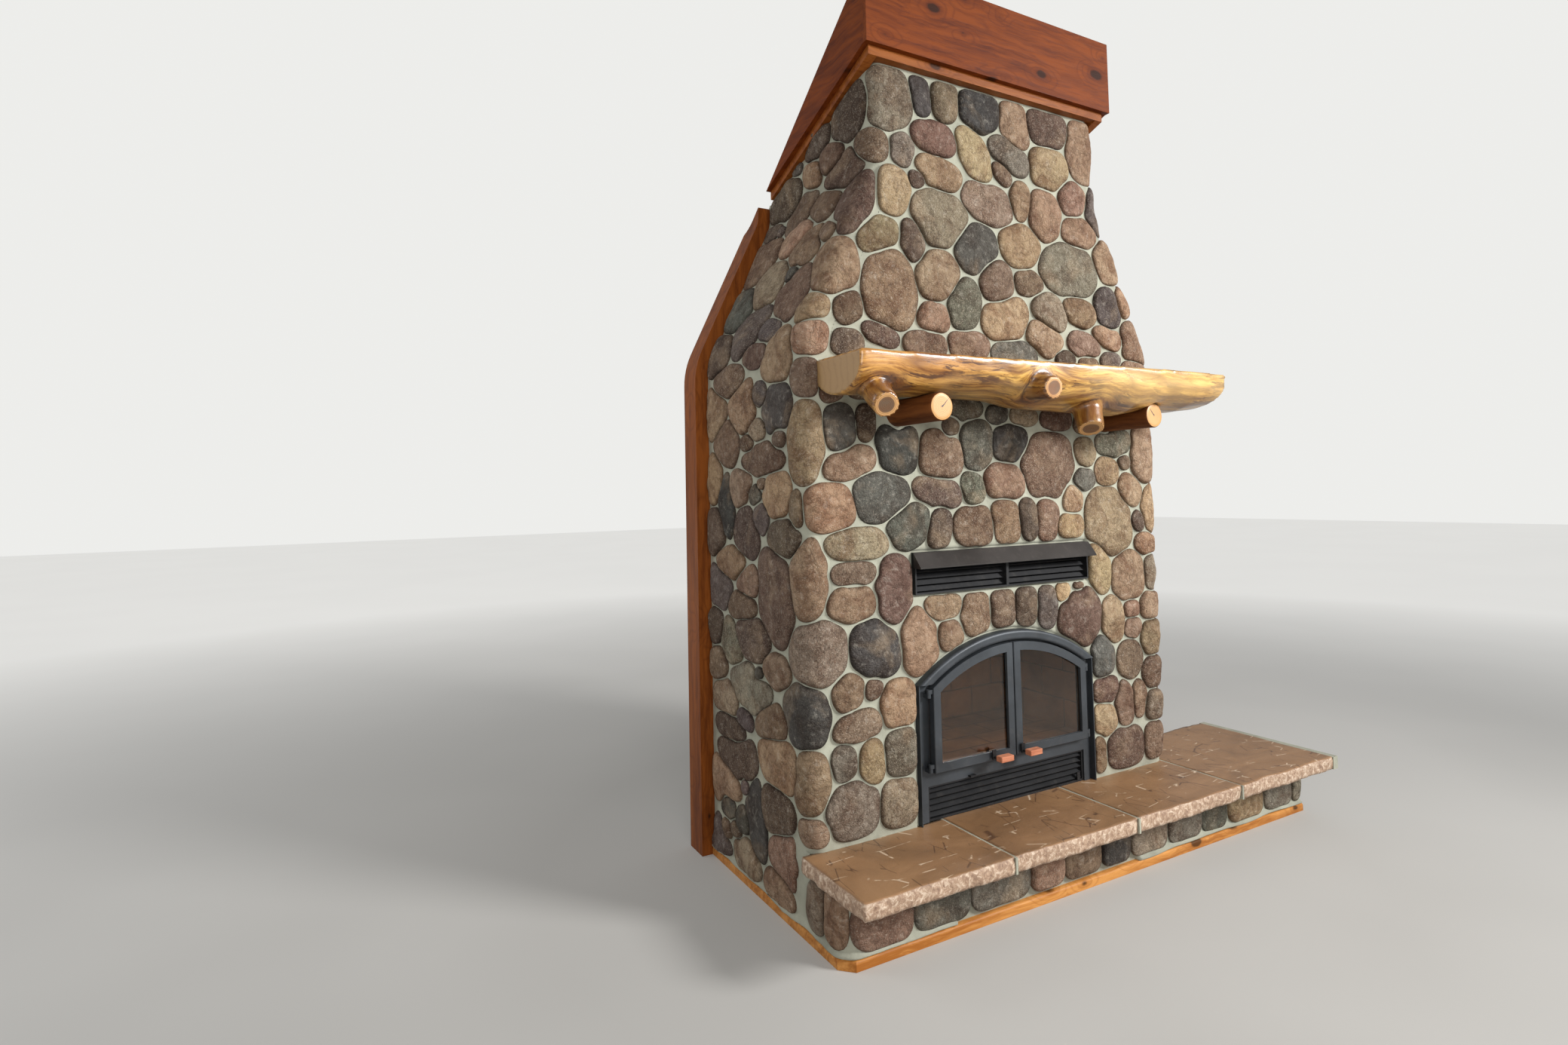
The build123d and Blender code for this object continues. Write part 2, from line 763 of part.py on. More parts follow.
# Door leaves, their glass, hinges and latches
latch_z = door_bottom + door_rail / 2
shoulder_y = door_back_y - glass_rebate_depth
arm_back_y = door_front_y - latch_gap
arm_front_y = arm_back_y - latch_arm_thickness
grip_back_y = arm_front_y - tang_length
cam_front_y = door_back_y + cam_gap
cam_back_y = cam_front_y + cam_thickness
for side, side_name, latch_x in ((-1, "left", latch_left_x), (1, "right", latch_right_x)):
    leaf = door_outline(side, 0)
    leaf_inside = door_outline(side, door_rail)
    leaf_rebate = door_outline(side, door_rail - glass_rebate)
    glass_outline = door_outline(side, door_rail - glass_rebate + glass_play)
    with BuildPart() as door_frame:
        with BuildSketch(facing(door_back_y)):
            add(leaf)
            add(leaf_inside, mode=Mode.SUBTRACT)
        extrude(amount=door_thickness)
        with BuildSketch(facing(door_back_y)):
            add(leaf_rebate)
        extrude(amount=glass_rebate_depth, mode=Mode.SUBTRACT)
        with BuildSketch(facing(door_back_y)):
            with Locations((latch_x, latch_z)):
                Circle(spindle_radius + pin_clearance)
        extrude(amount=door_thickness, mode=Mode.SUBTRACT)
        leaf_front = door_frame.faces().sort_by(Axis.Y)[0]
        chamfer(leaf_front.outer_wire().edges(), door_edge_chamfer)
    save(door_frame, f"{side_name}_door_frame")

    with BuildPart() as door_glass:
        with BuildSketch(facing(shoulder_y + glass_thickness)):
            add(glass_outline)
        extrude(amount=glass_thickness)
    save(door_glass, f"{side_name}_door_glass")

    with BuildPart() as hinge_knuckles:
        for hinge_z in hinge_heights:
            with BuildSketch(Plane.XY.offset(hinge_z + hinge_running_gap / 2)):
                with Locations((side * hinge_x, hinge_y)):
                    Circle(hinge_radius)
                    Rectangle(
                        hinge_offset,
                        2 * hinge_radius,
                        align=(Align.MAX if side > 0 else Align.MIN, Align.CENTER),
                    )
                    Circle(hinge_pin_radius + pin_clearance, mode=Mode.SUBTRACT)
            extrude(amount=hinge_half_height)
    save(hinge_knuckles, f"{side_name}_hinge_knuckles")

    with BuildPart() as latch_lever:
        with BuildSketch(facing(cam_back_y)):
            with Locations((latch_x, latch_z)):
                Circle(spindle_radius)
        extrude(amount=cam_back_y - arm_back_y)
        with BuildSketch(facing(cam_back_y)):
            with Locations((latch_x, latch_z - spindle_radius)):
                Rectangle(2 * spindle_radius, cam_length, align=(Align.CENTER, Align.MIN))
        extrude(amount=cam_thickness)
        with BuildSketch(facing(arm_back_y)):
            with Locations((latch_x, latch_z - latch_arm_width / 2)):
                Rectangle(latch_arm_width, latch_arm_rise + latch_arm_width / 2, align=(Align.CENTER, Align.MIN))
        extrude(amount=latch_arm_thickness)
        with BuildSketch(facing(arm_front_y)):
            with Locations((latch_x, latch_z)):
                Circle(tang_radius)
        extrude(amount=tang_length)
    save(latch_lever, f"{side_name}_latch_lever")

    with BuildPart() as latch_grip:
        with BuildSketch(facing(grip_back_y)):
            with Locations((latch_x - grip_overhang, latch_z)):
                Rectangle(grip_length, grip_height, align=(Align.MIN, Align.CENTER))
        extrude(amount=grip_depth)
        chamfer(latch_grip.edges(), grip_chamfer)
    save(latch_grip, f"{side_name}_latch_grip")

# Hinge lugs on the columns, each with the pin that its knuckle sits on
with BuildPart() as hinge_lugs:
    for side in (-1, 1):
        for hinge_z in hinge_heights:
            lug_top = hinge_z - hinge_running_gap / 2
            with BuildSketch(Plane.XY.offset(lug_top)):
                with Locations((side * hinge_x, hinge_y)):
                    Circle(hinge_radius)
                    Rectangle(2 * hinge_radius, face_y - hinge_y, align=(Align.CENTER, Align.MIN))
            extrude(amount=-hinge_half_height)
            with BuildSketch(Plane.XY.offset(lug_top)):
                with Locations((side * hinge_x, hinge_y)):
                    Circle(hinge_pin_radius)
            extrude(amount=hinge_pin_rise)
save(hinge_lugs, "hinge_lugs")

# Air controls: a lever under the door panel and a slide on the grille's right end
with BuildPart() as air_controls:
    with BuildSketch(facing(face_y)):
        with Locations((lever_inset - column_inner, grille_top + lever_height)):
            Rectangle(lever_width, lever_height)
    extrude(amount=lever_reach)
    with BuildSketch(facing(plate_front_y)):
        with Locations((column_inner - slide_inset, hearth_z + grille_rim)):
            Rectangle(slide_width, slide_height, align=(Align.CENTER, Align.MIN))
    extrude(amount=slide_thickness)
save(air_controls, "air_controls")
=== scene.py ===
import math
import random

import bpy
import numpy as np
from mathutils import Matrix, Vector, noise


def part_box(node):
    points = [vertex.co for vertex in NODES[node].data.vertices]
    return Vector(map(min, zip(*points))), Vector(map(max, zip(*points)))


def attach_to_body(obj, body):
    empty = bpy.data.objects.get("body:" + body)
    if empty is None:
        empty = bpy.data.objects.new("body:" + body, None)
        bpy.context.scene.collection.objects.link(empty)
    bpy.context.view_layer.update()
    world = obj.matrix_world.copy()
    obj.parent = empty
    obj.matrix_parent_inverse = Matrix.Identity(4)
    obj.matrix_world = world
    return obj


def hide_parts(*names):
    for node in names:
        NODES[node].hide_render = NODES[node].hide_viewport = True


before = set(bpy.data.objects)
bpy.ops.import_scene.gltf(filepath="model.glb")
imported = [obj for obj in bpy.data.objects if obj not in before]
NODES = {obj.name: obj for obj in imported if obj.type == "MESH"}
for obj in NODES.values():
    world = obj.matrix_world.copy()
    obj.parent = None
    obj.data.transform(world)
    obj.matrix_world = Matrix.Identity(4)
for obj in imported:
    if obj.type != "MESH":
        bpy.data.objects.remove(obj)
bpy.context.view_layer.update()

MM = 0.001

# Places read from the frame
HALF_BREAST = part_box("chimney_base")[1].x
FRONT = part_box("chimney_breast")[0].y
HEARTH_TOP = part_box("hearth_slab_2")[1].z
SLAB_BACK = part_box("hearth_slab_2")[1].y
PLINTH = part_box("hearth_plinth")
TRIM_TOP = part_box("base_trim")[1].z
STRIP_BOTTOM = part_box("header_strip")[0].z
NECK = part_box("header_strip")[1].x
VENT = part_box("vent_frame")
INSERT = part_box("insert_surround")
BOARD_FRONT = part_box("scribe_boards")[0].y
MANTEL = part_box("mantel_log")

# The masonry's outline, as the breast narrows from its full width to the neck
SHOULDER_START = 1.95
SHOULDER_END = 2.59
SHOULDER_RADIUS = 0.26
NECK_RADIUS = 0.18
OUTLINE_TOP = 3.3

# Stones stand proud of the mortar and turn the corners on the masonry's own round
CORNER = 0.045
CORNER_WALK = (CORNER + 0.02) * math.pi / 2
SKIN = 0.02

# What is left to chance among the stones is drawn from here, in the order of the work
rng = random.Random(7)


def linear(color):
    """A screen colour as the renderer wants it."""
    return tuple(c / 12.92 if c <= 0.04045 else ((c + 0.055) / 1.055) ** 2.4 for c in color) + (1.0,)


def scaled(color, share):
    """A colour made lighter or darker."""
    return tuple(c * share for c in color)


class Paint:
    """One procedural material, built node by node."""

    def __init__(self, name):
        self.material = bpy.data.materials.new(name)
        self.material.use_nodes = True
        self.tree = self.material.node_tree
        self.bsdf = self.tree.nodes["Principled BSDF"]
        self.place = self.make("TexCoord").outputs["Object"]

    def make(self, kind, settings=None, **inputs):
        made = self.tree.nodes.new("ShaderNode" + kind)
        for key, value in (settings or {}).items():
            setattr(made, key, value)
        for key, value in inputs.items():
            self.feed(made.inputs[key.replace("_", " ")], value)
        return made

    def feed(self, socket, value):
        if isinstance(value, bpy.types.NodeSocket):
            self.tree.links.new(value, socket)
        elif value is not None:
            socket.default_value = value

    def attribute(self, name):
        return self.make("Attribute", {"attribute_name": name}).outputs

    def parts(self, vector):
        return self.make("SeparateXYZ", Vector=vector).outputs

    def stretch(self, scale=(1, 1, 1), move=(0, 0, 0), turn=(0, 0, 0), vector=None):
        vector = vector or self.place
        return self.make("Mapping", Vector=vector, Scale=scale, Location=move, Rotation=turn).outputs[0]

    def noise(self, scale, detail=4.0, rough=0.55, distortion=0.0, vector=None):
        return self.make(
            "TexNoise", Vector=vector or self.place, Scale=scale, Detail=detail, Roughness=rough,
            Distortion=distortion,
        ).outputs[0]

    def cells(self, scale, vector=None, output="Distance", feature="F1", dimensions="3D"):
        settings = {"feature": feature, "voronoi_dimensions": dimensions}
        return self.make("TexVoronoi", settings, Vector=vector or self.place, Scale=scale).outputs[output]

    def math(self, operation, a, b=None, kind="Math"):
        made = self.make(kind, {"operation": operation})
        self.feed(made.inputs[0], a)
        self.feed(made.inputs[1], b)
        return made.outputs[0]

    def plus(self, a, b):
        return self.math("ADD", a, b)

    def minus(self, a, b):
        return self.math("SUBTRACT", a, b)

    def times(self, a, b):
        return self.math("MULTIPLY", a, b)

    def shift(self, a, b):
        return self.math("ADD", a, b, "VectorMath")

    def length(self, vector):
        made = self.make("VectorMath", {"operation": "LENGTH"})
        self.feed(made.inputs[0], vector)
        return made.outputs["Value"]

    def span(self, value, low, high, to_low=0.0, to_high=1.0):
        made = self.make("MapRange", {"clamp": True})
        for index, number in enumerate((value, low, high, to_low, to_high)):
            self.feed(made.inputs[index], number)
        return made.outputs[0]

    def ramp(self, value, *stops):
        made = self.make("ValToRGB", Fac=value)
        elements = made.color_ramp.elements
        while len(elements) < len(stops):
            elements.new(0.5)
        for element, (place, color) in zip(elements, stops):
            element.position = place
            element.color = linear(color)
        return made.outputs[0]

    def mix(self, share, a, b, how="MIX"):
        made = self.make("Mix", {"data_type": "RGBA", "blend_type": how})
        self.feed(made.inputs[0], share)
        self.feed(made.inputs[6], a)
        self.feed(made.inputs[7], b)
        return made.outputs[2]

    def tint(self, color, value, low, high, share, tone):
        """Mixes up to a share of a tone into a colour while the value goes from low to high."""
        return self.mix(self.span(value, low, high, 0.0, share), color, linear(tone))

    def shaded(self, color, tone):
        return self.mix(1.0, color, linear(tone), "MULTIPLY")

    def bump(self, height, distance, strength):
        return self.make("Bump", Height=height, Distance=distance, Strength=strength).outputs[0]

    def done(self, color, roughness, normal=None, **constants):
        self.feed(self.bsdf.inputs["Base Color"], color)
        self.feed(self.bsdf.inputs["Roughness"], roughness)
        self.feed(self.bsdf.inputs["Normal"], normal)
        for key, value in constants.items():
            self.bsdf.inputs[key.replace("_", " ")].default_value = value
        return self.material


def stone_paint():
    """Cobbles: each stone's own tint with mottling, grains and pits, painted shade in its creases and a rim
    darkened by painted shade where it meets the mortar.
    """
    p = Paint("river_stone")
    stone = p.attribute("tint")
    tint, rim = stone["Color"], stone["Alpha"]
    offset, grain, gloss = p.parts(p.attribute("kind")["Vector"])
    place = p.shift(p.place, offset)
    broad = p.noise(9.0, 6.0, 0.65, 0.8, place)
    color = p.mix(p.span(broad, 0.44, 0.62), tint, p.shaded(tint, (0.78, 0.71, 0.67)))
    warm = p.noise(6.0, 4.0, 0.6, 0.5, place)
    color = p.tint(color, warm, 0.52, 0.72, 0.38, (0.71, 0.61, 0.49))
    blotch = p.noise(42.0, 5.0, 0.7, 0.3, place)
    color = p.mix(p.span(blotch, 0.50, 0.70, 0.0, 0.6), color, p.shaded(color, (0.70, 0.65, 0.61)))
    lighter = p.mix(1.0, color, linear((1.0, 0.97, 0.90)), "SCREEN")
    color = p.mix(p.span(blotch, 0.45, 0.30, 0.0, 0.16), color, lighter)
    fine = p.noise(170.0, 6.0, 0.75, 0.0, place)
    dark = p.times(p.span(fine, 0.54, 0.62), grain)
    color = p.mix(dark, color, linear((0.24, 0.21, 0.19)))
    crumbs = p.noise(230.0, 4.0, 0.7, 0.0, place)
    pale = p.times(p.span(crumbs, 0.55, 0.65), p.span(grain, 0.05, 0.5, 0.06, 0.45))
    color = p.mix(pale, color, linear((0.82, 0.77, 0.69)))
    # Painted shade: each stone grows darker towards its rim, where it meets the mortar.
    color = p.mix(p.span(rim, 0.50, 0.28, 0.0, 0.60), color, p.shaded(color, (0.58, 0.53, 0.49)))
    pits = p.cells(120.0, place)
    relief = p.plus(p.times(fine, 0.55), p.times(blotch, 1.3))
    relief = p.plus(relief, p.times(p.span(pits, 0.0, 0.4), 0.35))
    ridge = p.math("ABSOLUTE", p.minus(p.noise(15.0, 5.0, 0.6, 0.4, place), 0.5))
    relief = p.plus(relief, p.times(ridge, 4.0))
    # Painted shade: darker along the bottoms of the ridged creases that the bump cuts in.
    crease_shade = p.span(ridge, 0.0, 0.035, 0.45, 0.0)
    color = p.mix(crease_shade, color, p.shaded(color, (0.55, 0.50, 0.46)))
    rough = p.minus(p.span(fine, 0.3, 0.7, 0.66, 0.88), gloss)
    return p.done(color, rough, p.bump(relief, 0.0065, 1.0), Specular_IOR_Level=0.3)


def mortar_paint():
    """Pale brushed mortar with sand grains and faint stains."""
    p = Paint("mortar")
    cloud = p.noise(7.0, 5.0, 0.6)
    tone = (0.63, 0.63, 0.565)
    color = p.ramp(cloud, (0.3, scaled(tone, 0.86)), (0.5, tone), (0.75, scaled(tone, 1.09)))
    sand = p.noise(420.0, 3.0, 0.7)
    color = p.tint(color, sand, 0.6, 0.72, 0.35, (0.52, 0.49, 0.43))
    relief = p.plus(p.times(sand, 0.35), p.noise(45.0, 5.0, 0.6))
    return p.done(color, p.span(cloud, 0.3, 0.7, 0.82, 0.95), p.bump(relief, 0.0025, 0.9))


def core_paint():
    """Masonry core: mortar where the stones sit, plain grey blockwork on the faces against walls."""
    p = Paint("masonry_core")
    cloud = p.noise(7.0, 5.0, 0.6)
    mortar = p.ramp(cloud, (0.3, (0.53, 0.53, 0.47)), (0.7, (0.66, 0.66, 0.60)))
    grit = p.noise(160.0, 4.0, 0.7)
    block = p.ramp(p.noise(2.0, 4.0, 0.6), (0.35, (0.47, 0.46, 0.44)), (0.65, (0.58, 0.57, 0.55)))
    block = p.tint(block, grit, 0.55, 0.68, 0.45, (0.33, 0.32, 0.31))
    x, y, z = p.parts(p.place)
    nx, ny, _ = p.parts(p.make("NewGeometry").outputs["Normal"])
    to_side, to_back = p.span(nx, 0.5, 0.8), p.span(ny, 0.5, 0.8)
    flat = p.make("CombineXYZ", X=p.plus(x, p.times(y, to_side)), Y=z).outputs[0]
    joint = p.make(
        "TexBrick", {"offset": 0.5}, Vector=flat, Scale=1.0, Mortar_Size=0.005, Mortar_Smooth=0.3,
        Bias=0.0, Brick_Width=0.40, Row_Height=0.20,
    ).outputs["Fac"]
    block = p.mix(joint, block, linear((0.62, 0.61, 0.58)))
    hidden = p.math("MAXIMUM", to_side, to_back)
    relief = p.minus(p.times(grit, 0.5), p.times(joint, hidden))
    return p.done(p.mix(hidden, mortar, block), 0.92, p.bump(relief, 0.003, 0.8))


def drawn_out(axis, share):
    """Scale that draws a pattern out along one axis."""
    return tuple(share if name == axis else 1 for name in "xyz")


def grain_flow(p, bent):
    """Places that sway a little, so that grain wanders, and bend as the piece itself says."""
    sway = p.make("VectorMath", {"operation": "SCALE"})
    p.feed(sway.inputs[0], p.make("TexNoise", Vector=p.place, Scale=5.0, Detail=2.0).outputs["Color"])
    sway.inputs["Scale"].default_value = 0.045
    flow = p.shift(p.place, sway.outputs[0])
    return p.shift(flow, p.attribute("bend")["Vector"]) if bent else flow


def knot_rim(p, along, density):
    """Distance outside the rims of knots scattered over a board's face."""
    x, y, z = p.parts(p.place)
    run, rise = {"x": (x, z), "y": (y, z), "z": (z, x)}[along]
    face = p.make("CombineXYZ", X=p.times(run, 0.55), Y=p.plus(rise, 0.31)).outputs[0]
    near = p.cells(density, face, dimensions="2D")
    near = p.plus(near, p.times(p.minus(p.noise(22.0, 3.0), 0.5), 0.07))
    pick = p.make("SeparateColor", Color=p.cells(density, face, "Color", dimensions="2D")).outputs[0]
    return p.minus(near, p.span(pick, 0.30, 1.0, -0.04, 0.09))


def bark_marks(p, color, along, flow):
    """Bark left in patches, thin dark flecks, amber varnish and pale patches of painted sheen."""
    flake = p.noise(16.0, 6.0, 0.7, 0.6, p.stretch(drawn_out(along, 0.35), vector=flow))
    mask = p.plus(p.times(flake, 1.1), p.attribute("stain")["Fac"])
    color = p.tint(color, mask, 0.72, 0.98, 0.75, (0.46, 0.27, 0.10))
    color = p.tint(color, mask, 0.96, 1.08, 0.9, (0.22, 0.12, 0.055))
    thin = p.noise(60.0, 5.0, 0.7, 0.4, p.stretch(drawn_out(along, 0.10), vector=flow))
    rare = p.span(p.noise(4.5, 3.0, 0.6), 0.38, 0.54, 0.0, 0.9)
    color = p.mix(p.times(p.span(thin, 0.52, 0.59), rare), color, linear((0.31, 0.17, 0.07)))
    cloud = p.noise(2.2, 2.0, 0.5, 0.2, p.stretch(drawn_out(along, 0.5), (3, 1, 2)))
    amber = p.times(p.span(cloud, 0.42, 0.62), 0.6)
    color = p.mix(amber, color, linear((0.80, 0.54, 0.17)), "MULTIPLY")
    # Painted sheen: pale gold patches drawn out along the grain.
    sheen_patches = p.noise(3.4, 3.0, 0.55, 0.4, p.stretch(drawn_out(along, 0.3)))
    return p.tint(color, sheen_patches, 0.50, 0.66, 0.5, (0.93, 0.79, 0.54))


def wood_paint(name, light, dark, along="x", knots=None, gloss=0.38, bark=False, coat=0.0):
    """Varnished timber: soft streaks and a faint figure along one axis, with knots where asked."""
    p = Paint(name)
    cloud = p.noise(3.0, 4.0, 0.6, 0.3, p.stretch(drawn_out(along, 0.25)))
    flow = grain_flow(p, bark)
    streak = p.noise(42.0, 6.0, 0.65, 0.2, p.stretch(drawn_out(along, 0.07), vector=flow))
    pores = p.noise(190.0, 4.0, 0.7, 0.0, p.stretch(drawn_out(along, 0.03), vector=flow))
    share = p.plus(p.times(streak, 0.5), p.times(cloud, 0.3))
    share = p.plus(share, p.times(pores, 0.2))
    middle = tuple(a * 0.6 + b * 0.4 for a, b in zip(light, dark))
    color = p.ramp(share, (0.41, dark), (0.485, middle), (0.56, light))
    figure = p.noise(3.2, 3.0, 0.45, 0.3, p.stretch(drawn_out(along, 0.12), vector=flow))
    if knots:
        rim = knot_rim(p, along, knots)
        figure = p.plus(figure, p.span(rim, 0.34, 0.03, 0.0, 0.14))
    lines = p.math("PINGPONG", p.times(figure, 17.0), 0.5)
    color = p.mix(p.span(lines, 0.0, 0.22, 0.78 if bark else 0.42, 0.0), color, linear(dark))
    if knots:
        color = p.tint(color, rim, 0.16, 0.04, 0.65, dark)
        color = p.tint(color, rim, 0.055, 0.015, 0.85, scaled(dark, 0.4))
    if bark:
        color = bark_marks(p, color, along, flow)
    relief = p.plus(p.times(pores, 0.4), p.times(streak, 1.5))
    return p.done(
        color, p.span(pores, 0.3, 0.7, gloss, gloss + 0.12), p.bump(relief, 0.0012, 0.5),
        Specular_IOR_Level=0.15 + coat, Coat_Weight=coat, Coat_Roughness=0.22,
    )


def end_grain_paint(name, light, dark, heart, rings, cracked=False):
    """Sawn end of a log: year rings round the pith, a darker heart and now and then one crack."""
    p = Paint(name)
    spot = p.attribute("ring")["Vector"]
    a, b, _ = p.parts(spot)
    wander = p.noise(26.0, 3.0, 0.5)
    way = p.plus(p.length(spot), p.times(wander, 0.16))
    lines = p.math("PINGPONG", p.times(way, rings), 0.5)
    color = p.ramp(lines, (0.0, dark), (0.22, light), (0.5, light))
    inner = p.mix(p.span(wander, 0.35, 0.65), linear((0.33, 0.19, 0.11)), linear((0.30, 0.26, 0.23)))
    color = p.mix(p.span(way, heart + 0.14, heart + 0.02, 0.0, 0.85), color, inner)
    color = p.tint(color, way, 0.98, 1.10, 0.7, scaled(dark, 0.7))
    saw = p.noise(260.0, 3.0, 0.6)
    color = p.tint(color, saw, 0.52, 0.70, 0.2, dark)
    smear = p.noise(9.0, 4.0, 0.6, 0.6)
    color = p.tint(color, smear, 0.50, 0.68, 0.45, dark)
    if cracked:
        off = p.math("ABSOLUTE", p.plus(b, p.times(p.minus(wander, 0.5), 0.3)))
        gape = p.span(a, 0.0, 0.9, 0.050, 0.012)
        crack = p.times(p.math("LESS_THAN", off, gape), p.math("GREATER_THAN", a, 0.0))
        color = p.mix(crack, color, linear((0.13, 0.07, 0.04)))
    return p.done(color, 0.5, p.bump(saw, 0.0006, 0.5), Coat_Weight=0.15, Coat_Roughness=0.3)


def slab_paint():
    """Cleft sandstone: a sealed tan top with fine scratches, and rough sparkling broken edges."""
    p = Paint("sandstone")
    upright = p.parts(p.make("NewGeometry").outputs["Normal"])[2]
    bed = p.noise(3.0, 6.0, 0.6, 0.8, p.stretch((1, 1.5, 3)))
    top = p.ramp(bed, (0.3, (0.50, 0.375, 0.26)), (0.5, (0.57, 0.43, 0.30)), (0.72, (0.64, 0.49, 0.35)))
    lie = p.stretch((1, 0.35, 1), (0, 0, 0), (0, 0, 0.6))
    dark_cut = p.cells(15.0, lie, feature="DISTANCE_TO_EDGE")
    broken = p.span(p.noise(13.0, 3.0, 0.5), 0.51, 0.55)
    mark = p.times(p.span(dark_cut, 0.024, 0.006), broken)
    top = p.mix(p.times(mark, 0.7), top, linear((0.28, 0.18, 0.13)))
    lie = p.stretch((0.35, 1, 1), (0.3, 0.7, 0), (0, 0, -0.4))
    pale_cut = p.cells(14.0, lie, feature="DISTANCE_TO_EDGE")
    parted = p.span(p.noise(14.0, 3.0, 0.5, 0.0, p.stretch(move=(5, 2, 0))), 0.55, 0.59)
    mark = p.times(p.span(pale_cut, 0.026, 0.006), parted)
    top = p.mix(p.times(mark, 0.75), top, linear((0.90, 0.81, 0.70)))
    chips = p.noise(55.0, 6.0, 0.75, 0.6)
    edge = p.ramp(chips, (0.32, (0.48, 0.37, 0.30)), (0.5, (0.69, 0.57, 0.47)), (0.66, (0.90, 0.82, 0.73)))
    color = p.mix(p.span(upright, 0.82, 0.62), top, edge)
    sand = p.noise(300.0, 3.0, 0.7)
    color = p.tint(color, sand, 0.60, 0.74, 0.25, (0.34, 0.23, 0.16))
    relief = p.plus(p.times(bed, 1.6), p.times(sand, 0.35))
    relief = p.plus(relief, p.times(chips, p.span(upright, 0.85, 0.6, 0.12, 1.6)))
    return p.done(color, p.span(upright, 0.85, 0.6, 0.36, 0.5), p.bump(relief, 0.0035, 0.7))


def steel_paint(name, tone, rough):
    """Painted steel: an even coat with a faint orange peel, dust in it and rubbed patches."""
    p = Paint(name)
    cloud = p.noise(5.0, 4.0, 0.6)
    color = p.ramp(cloud, (0.3, scaled(tone, 0.85)), (0.7, scaled(tone, 1.18)))
    peel = p.noise(380.0, 2.0, 0.5)
    color = p.tint(color, p.noise(26.0, 5.0, 0.65), 0.55, 0.8, 0.10, (0.55, 0.52, 0.48))
    dull = p.span(cloud, 0.3, 0.7, rough - 0.05, rough + 0.07)
    return p.done(color, dull, p.bump(peel, 0.0003, 0.25), Metallic=0.35)


def glass_paint():
    """Smoke-tinted ceramic glass with a little haze."""
    p = Paint("door_glass")
    haze = p.noise(6.0, 4.0, 0.6)
    color = p.ramp(haze, (0.3, (0.80, 0.69, 0.58)), (0.7, (0.85, 0.75, 0.64)))
    return p.done(color, p.span(haze, 0.35, 0.7, 0.02, 0.06), Transmission_Weight=1.0, IOR=1.5)


def brick_paint(name, turn):
    """Firebrick laid in courses, sooty in clouds."""
    p = Paint(name)
    soot = p.noise(4.0, 5.0, 0.6)
    joint = p.make(
        "TexBrick", {"offset": 0.5}, Vector=p.stretch(turn=turn), Scale=1.0, Mortar_Size=0.0035,
        Mortar_Smooth=0.2, Bias=0.0, Brick_Width=0.228, Row_Height=0.115,
    ).outputs["Fac"]
    color = p.ramp(soot, (0.3, (0.38, 0.30, 0.23)), (0.55, (0.62, 0.50, 0.38)), (0.8, (0.76, 0.64, 0.49)))
    grit = p.noise(250.0, 4.0, 0.7)
    color = p.tint(color, grit, 0.6, 0.7, 0.5, (0.30, 0.23, 0.18))
    color = p.mix(p.times(joint, 0.75), color, linear((0.20, 0.17, 0.14)))
    relief = p.minus(p.times(grit, 0.4), joint)
    return p.done(color, 0.9, p.bump(relief, 0.002, 0.8))


STONE = stone_paint()
MORTAR = mortar_paint()
CORE = core_paint()
SLAB = slab_paint()
HONEY = wood_paint(
    "varnished_log", (0.87, 0.68, 0.35), (0.45, 0.27, 0.08), gloss=0.26, bark=True, coat=0.45,
)
CORBEL = wood_paint("corbel_wood", (0.46, 0.27, 0.13), (0.29, 0.15, 0.065), "y", gloss=0.45)
CORBEL_END = end_grain_paint("corbel_end", (0.80, 0.61, 0.37), (0.68, 0.47, 0.25), 0.06, 9.0, True)
BRANCH_END = end_grain_paint("branch_end", (0.84, 0.65, 0.42), (0.58, 0.36, 0.20), 0.58, 8.0)
LOG_END = end_grain_paint("mantel_end", (0.62, 0.49, 0.32), (0.585, 0.455, 0.295), 0.05, 9.0)
TRIM_X = wood_paint("trim_wood_along_x", (0.80, 0.56, 0.30), (0.62, 0.38, 0.16), "x", 7.0)
STRIP_X = wood_paint("strip_wood_along_x", (0.56, 0.32, 0.13), (0.42, 0.21, 0.07), "x", 7.0)
TRIM_Z = wood_paint("trim_wood_along_z", (0.55, 0.30, 0.11), (0.39, 0.19, 0.06), "z", 6.0)
CEDAR_X, CEDAR_Y = (
    wood_paint("cedar_along_" + along, (0.47, 0.22, 0.05), (0.32, 0.125, 0.025), along, 6.6, 0.55)
    for along in "xy"
)
GRIP = wood_paint("grip_wood", (0.76, 0.50, 0.38), (0.62, 0.37, 0.27), gloss=0.45)
CHARCOAL = steel_paint("charcoal_steel", (0.225, 0.24, 0.255), 0.46)
BLACK = steel_paint("black_steel", (0.12, 0.12, 0.125), 0.5)
BRONZE = steel_paint("bronze_steel", (0.20, 0.185, 0.175), 0.40)
GLASS = glass_paint()
BRICK_FLAT = brick_paint("firebrick_floor", (0, 0, 0))
BRICK_BACK = brick_paint("firebrick_back", (math.pi / 2, 0, 0))
BRICK_SIDE = brick_paint("firebrick_side", (0, math.pi / 2, math.pi / 2))

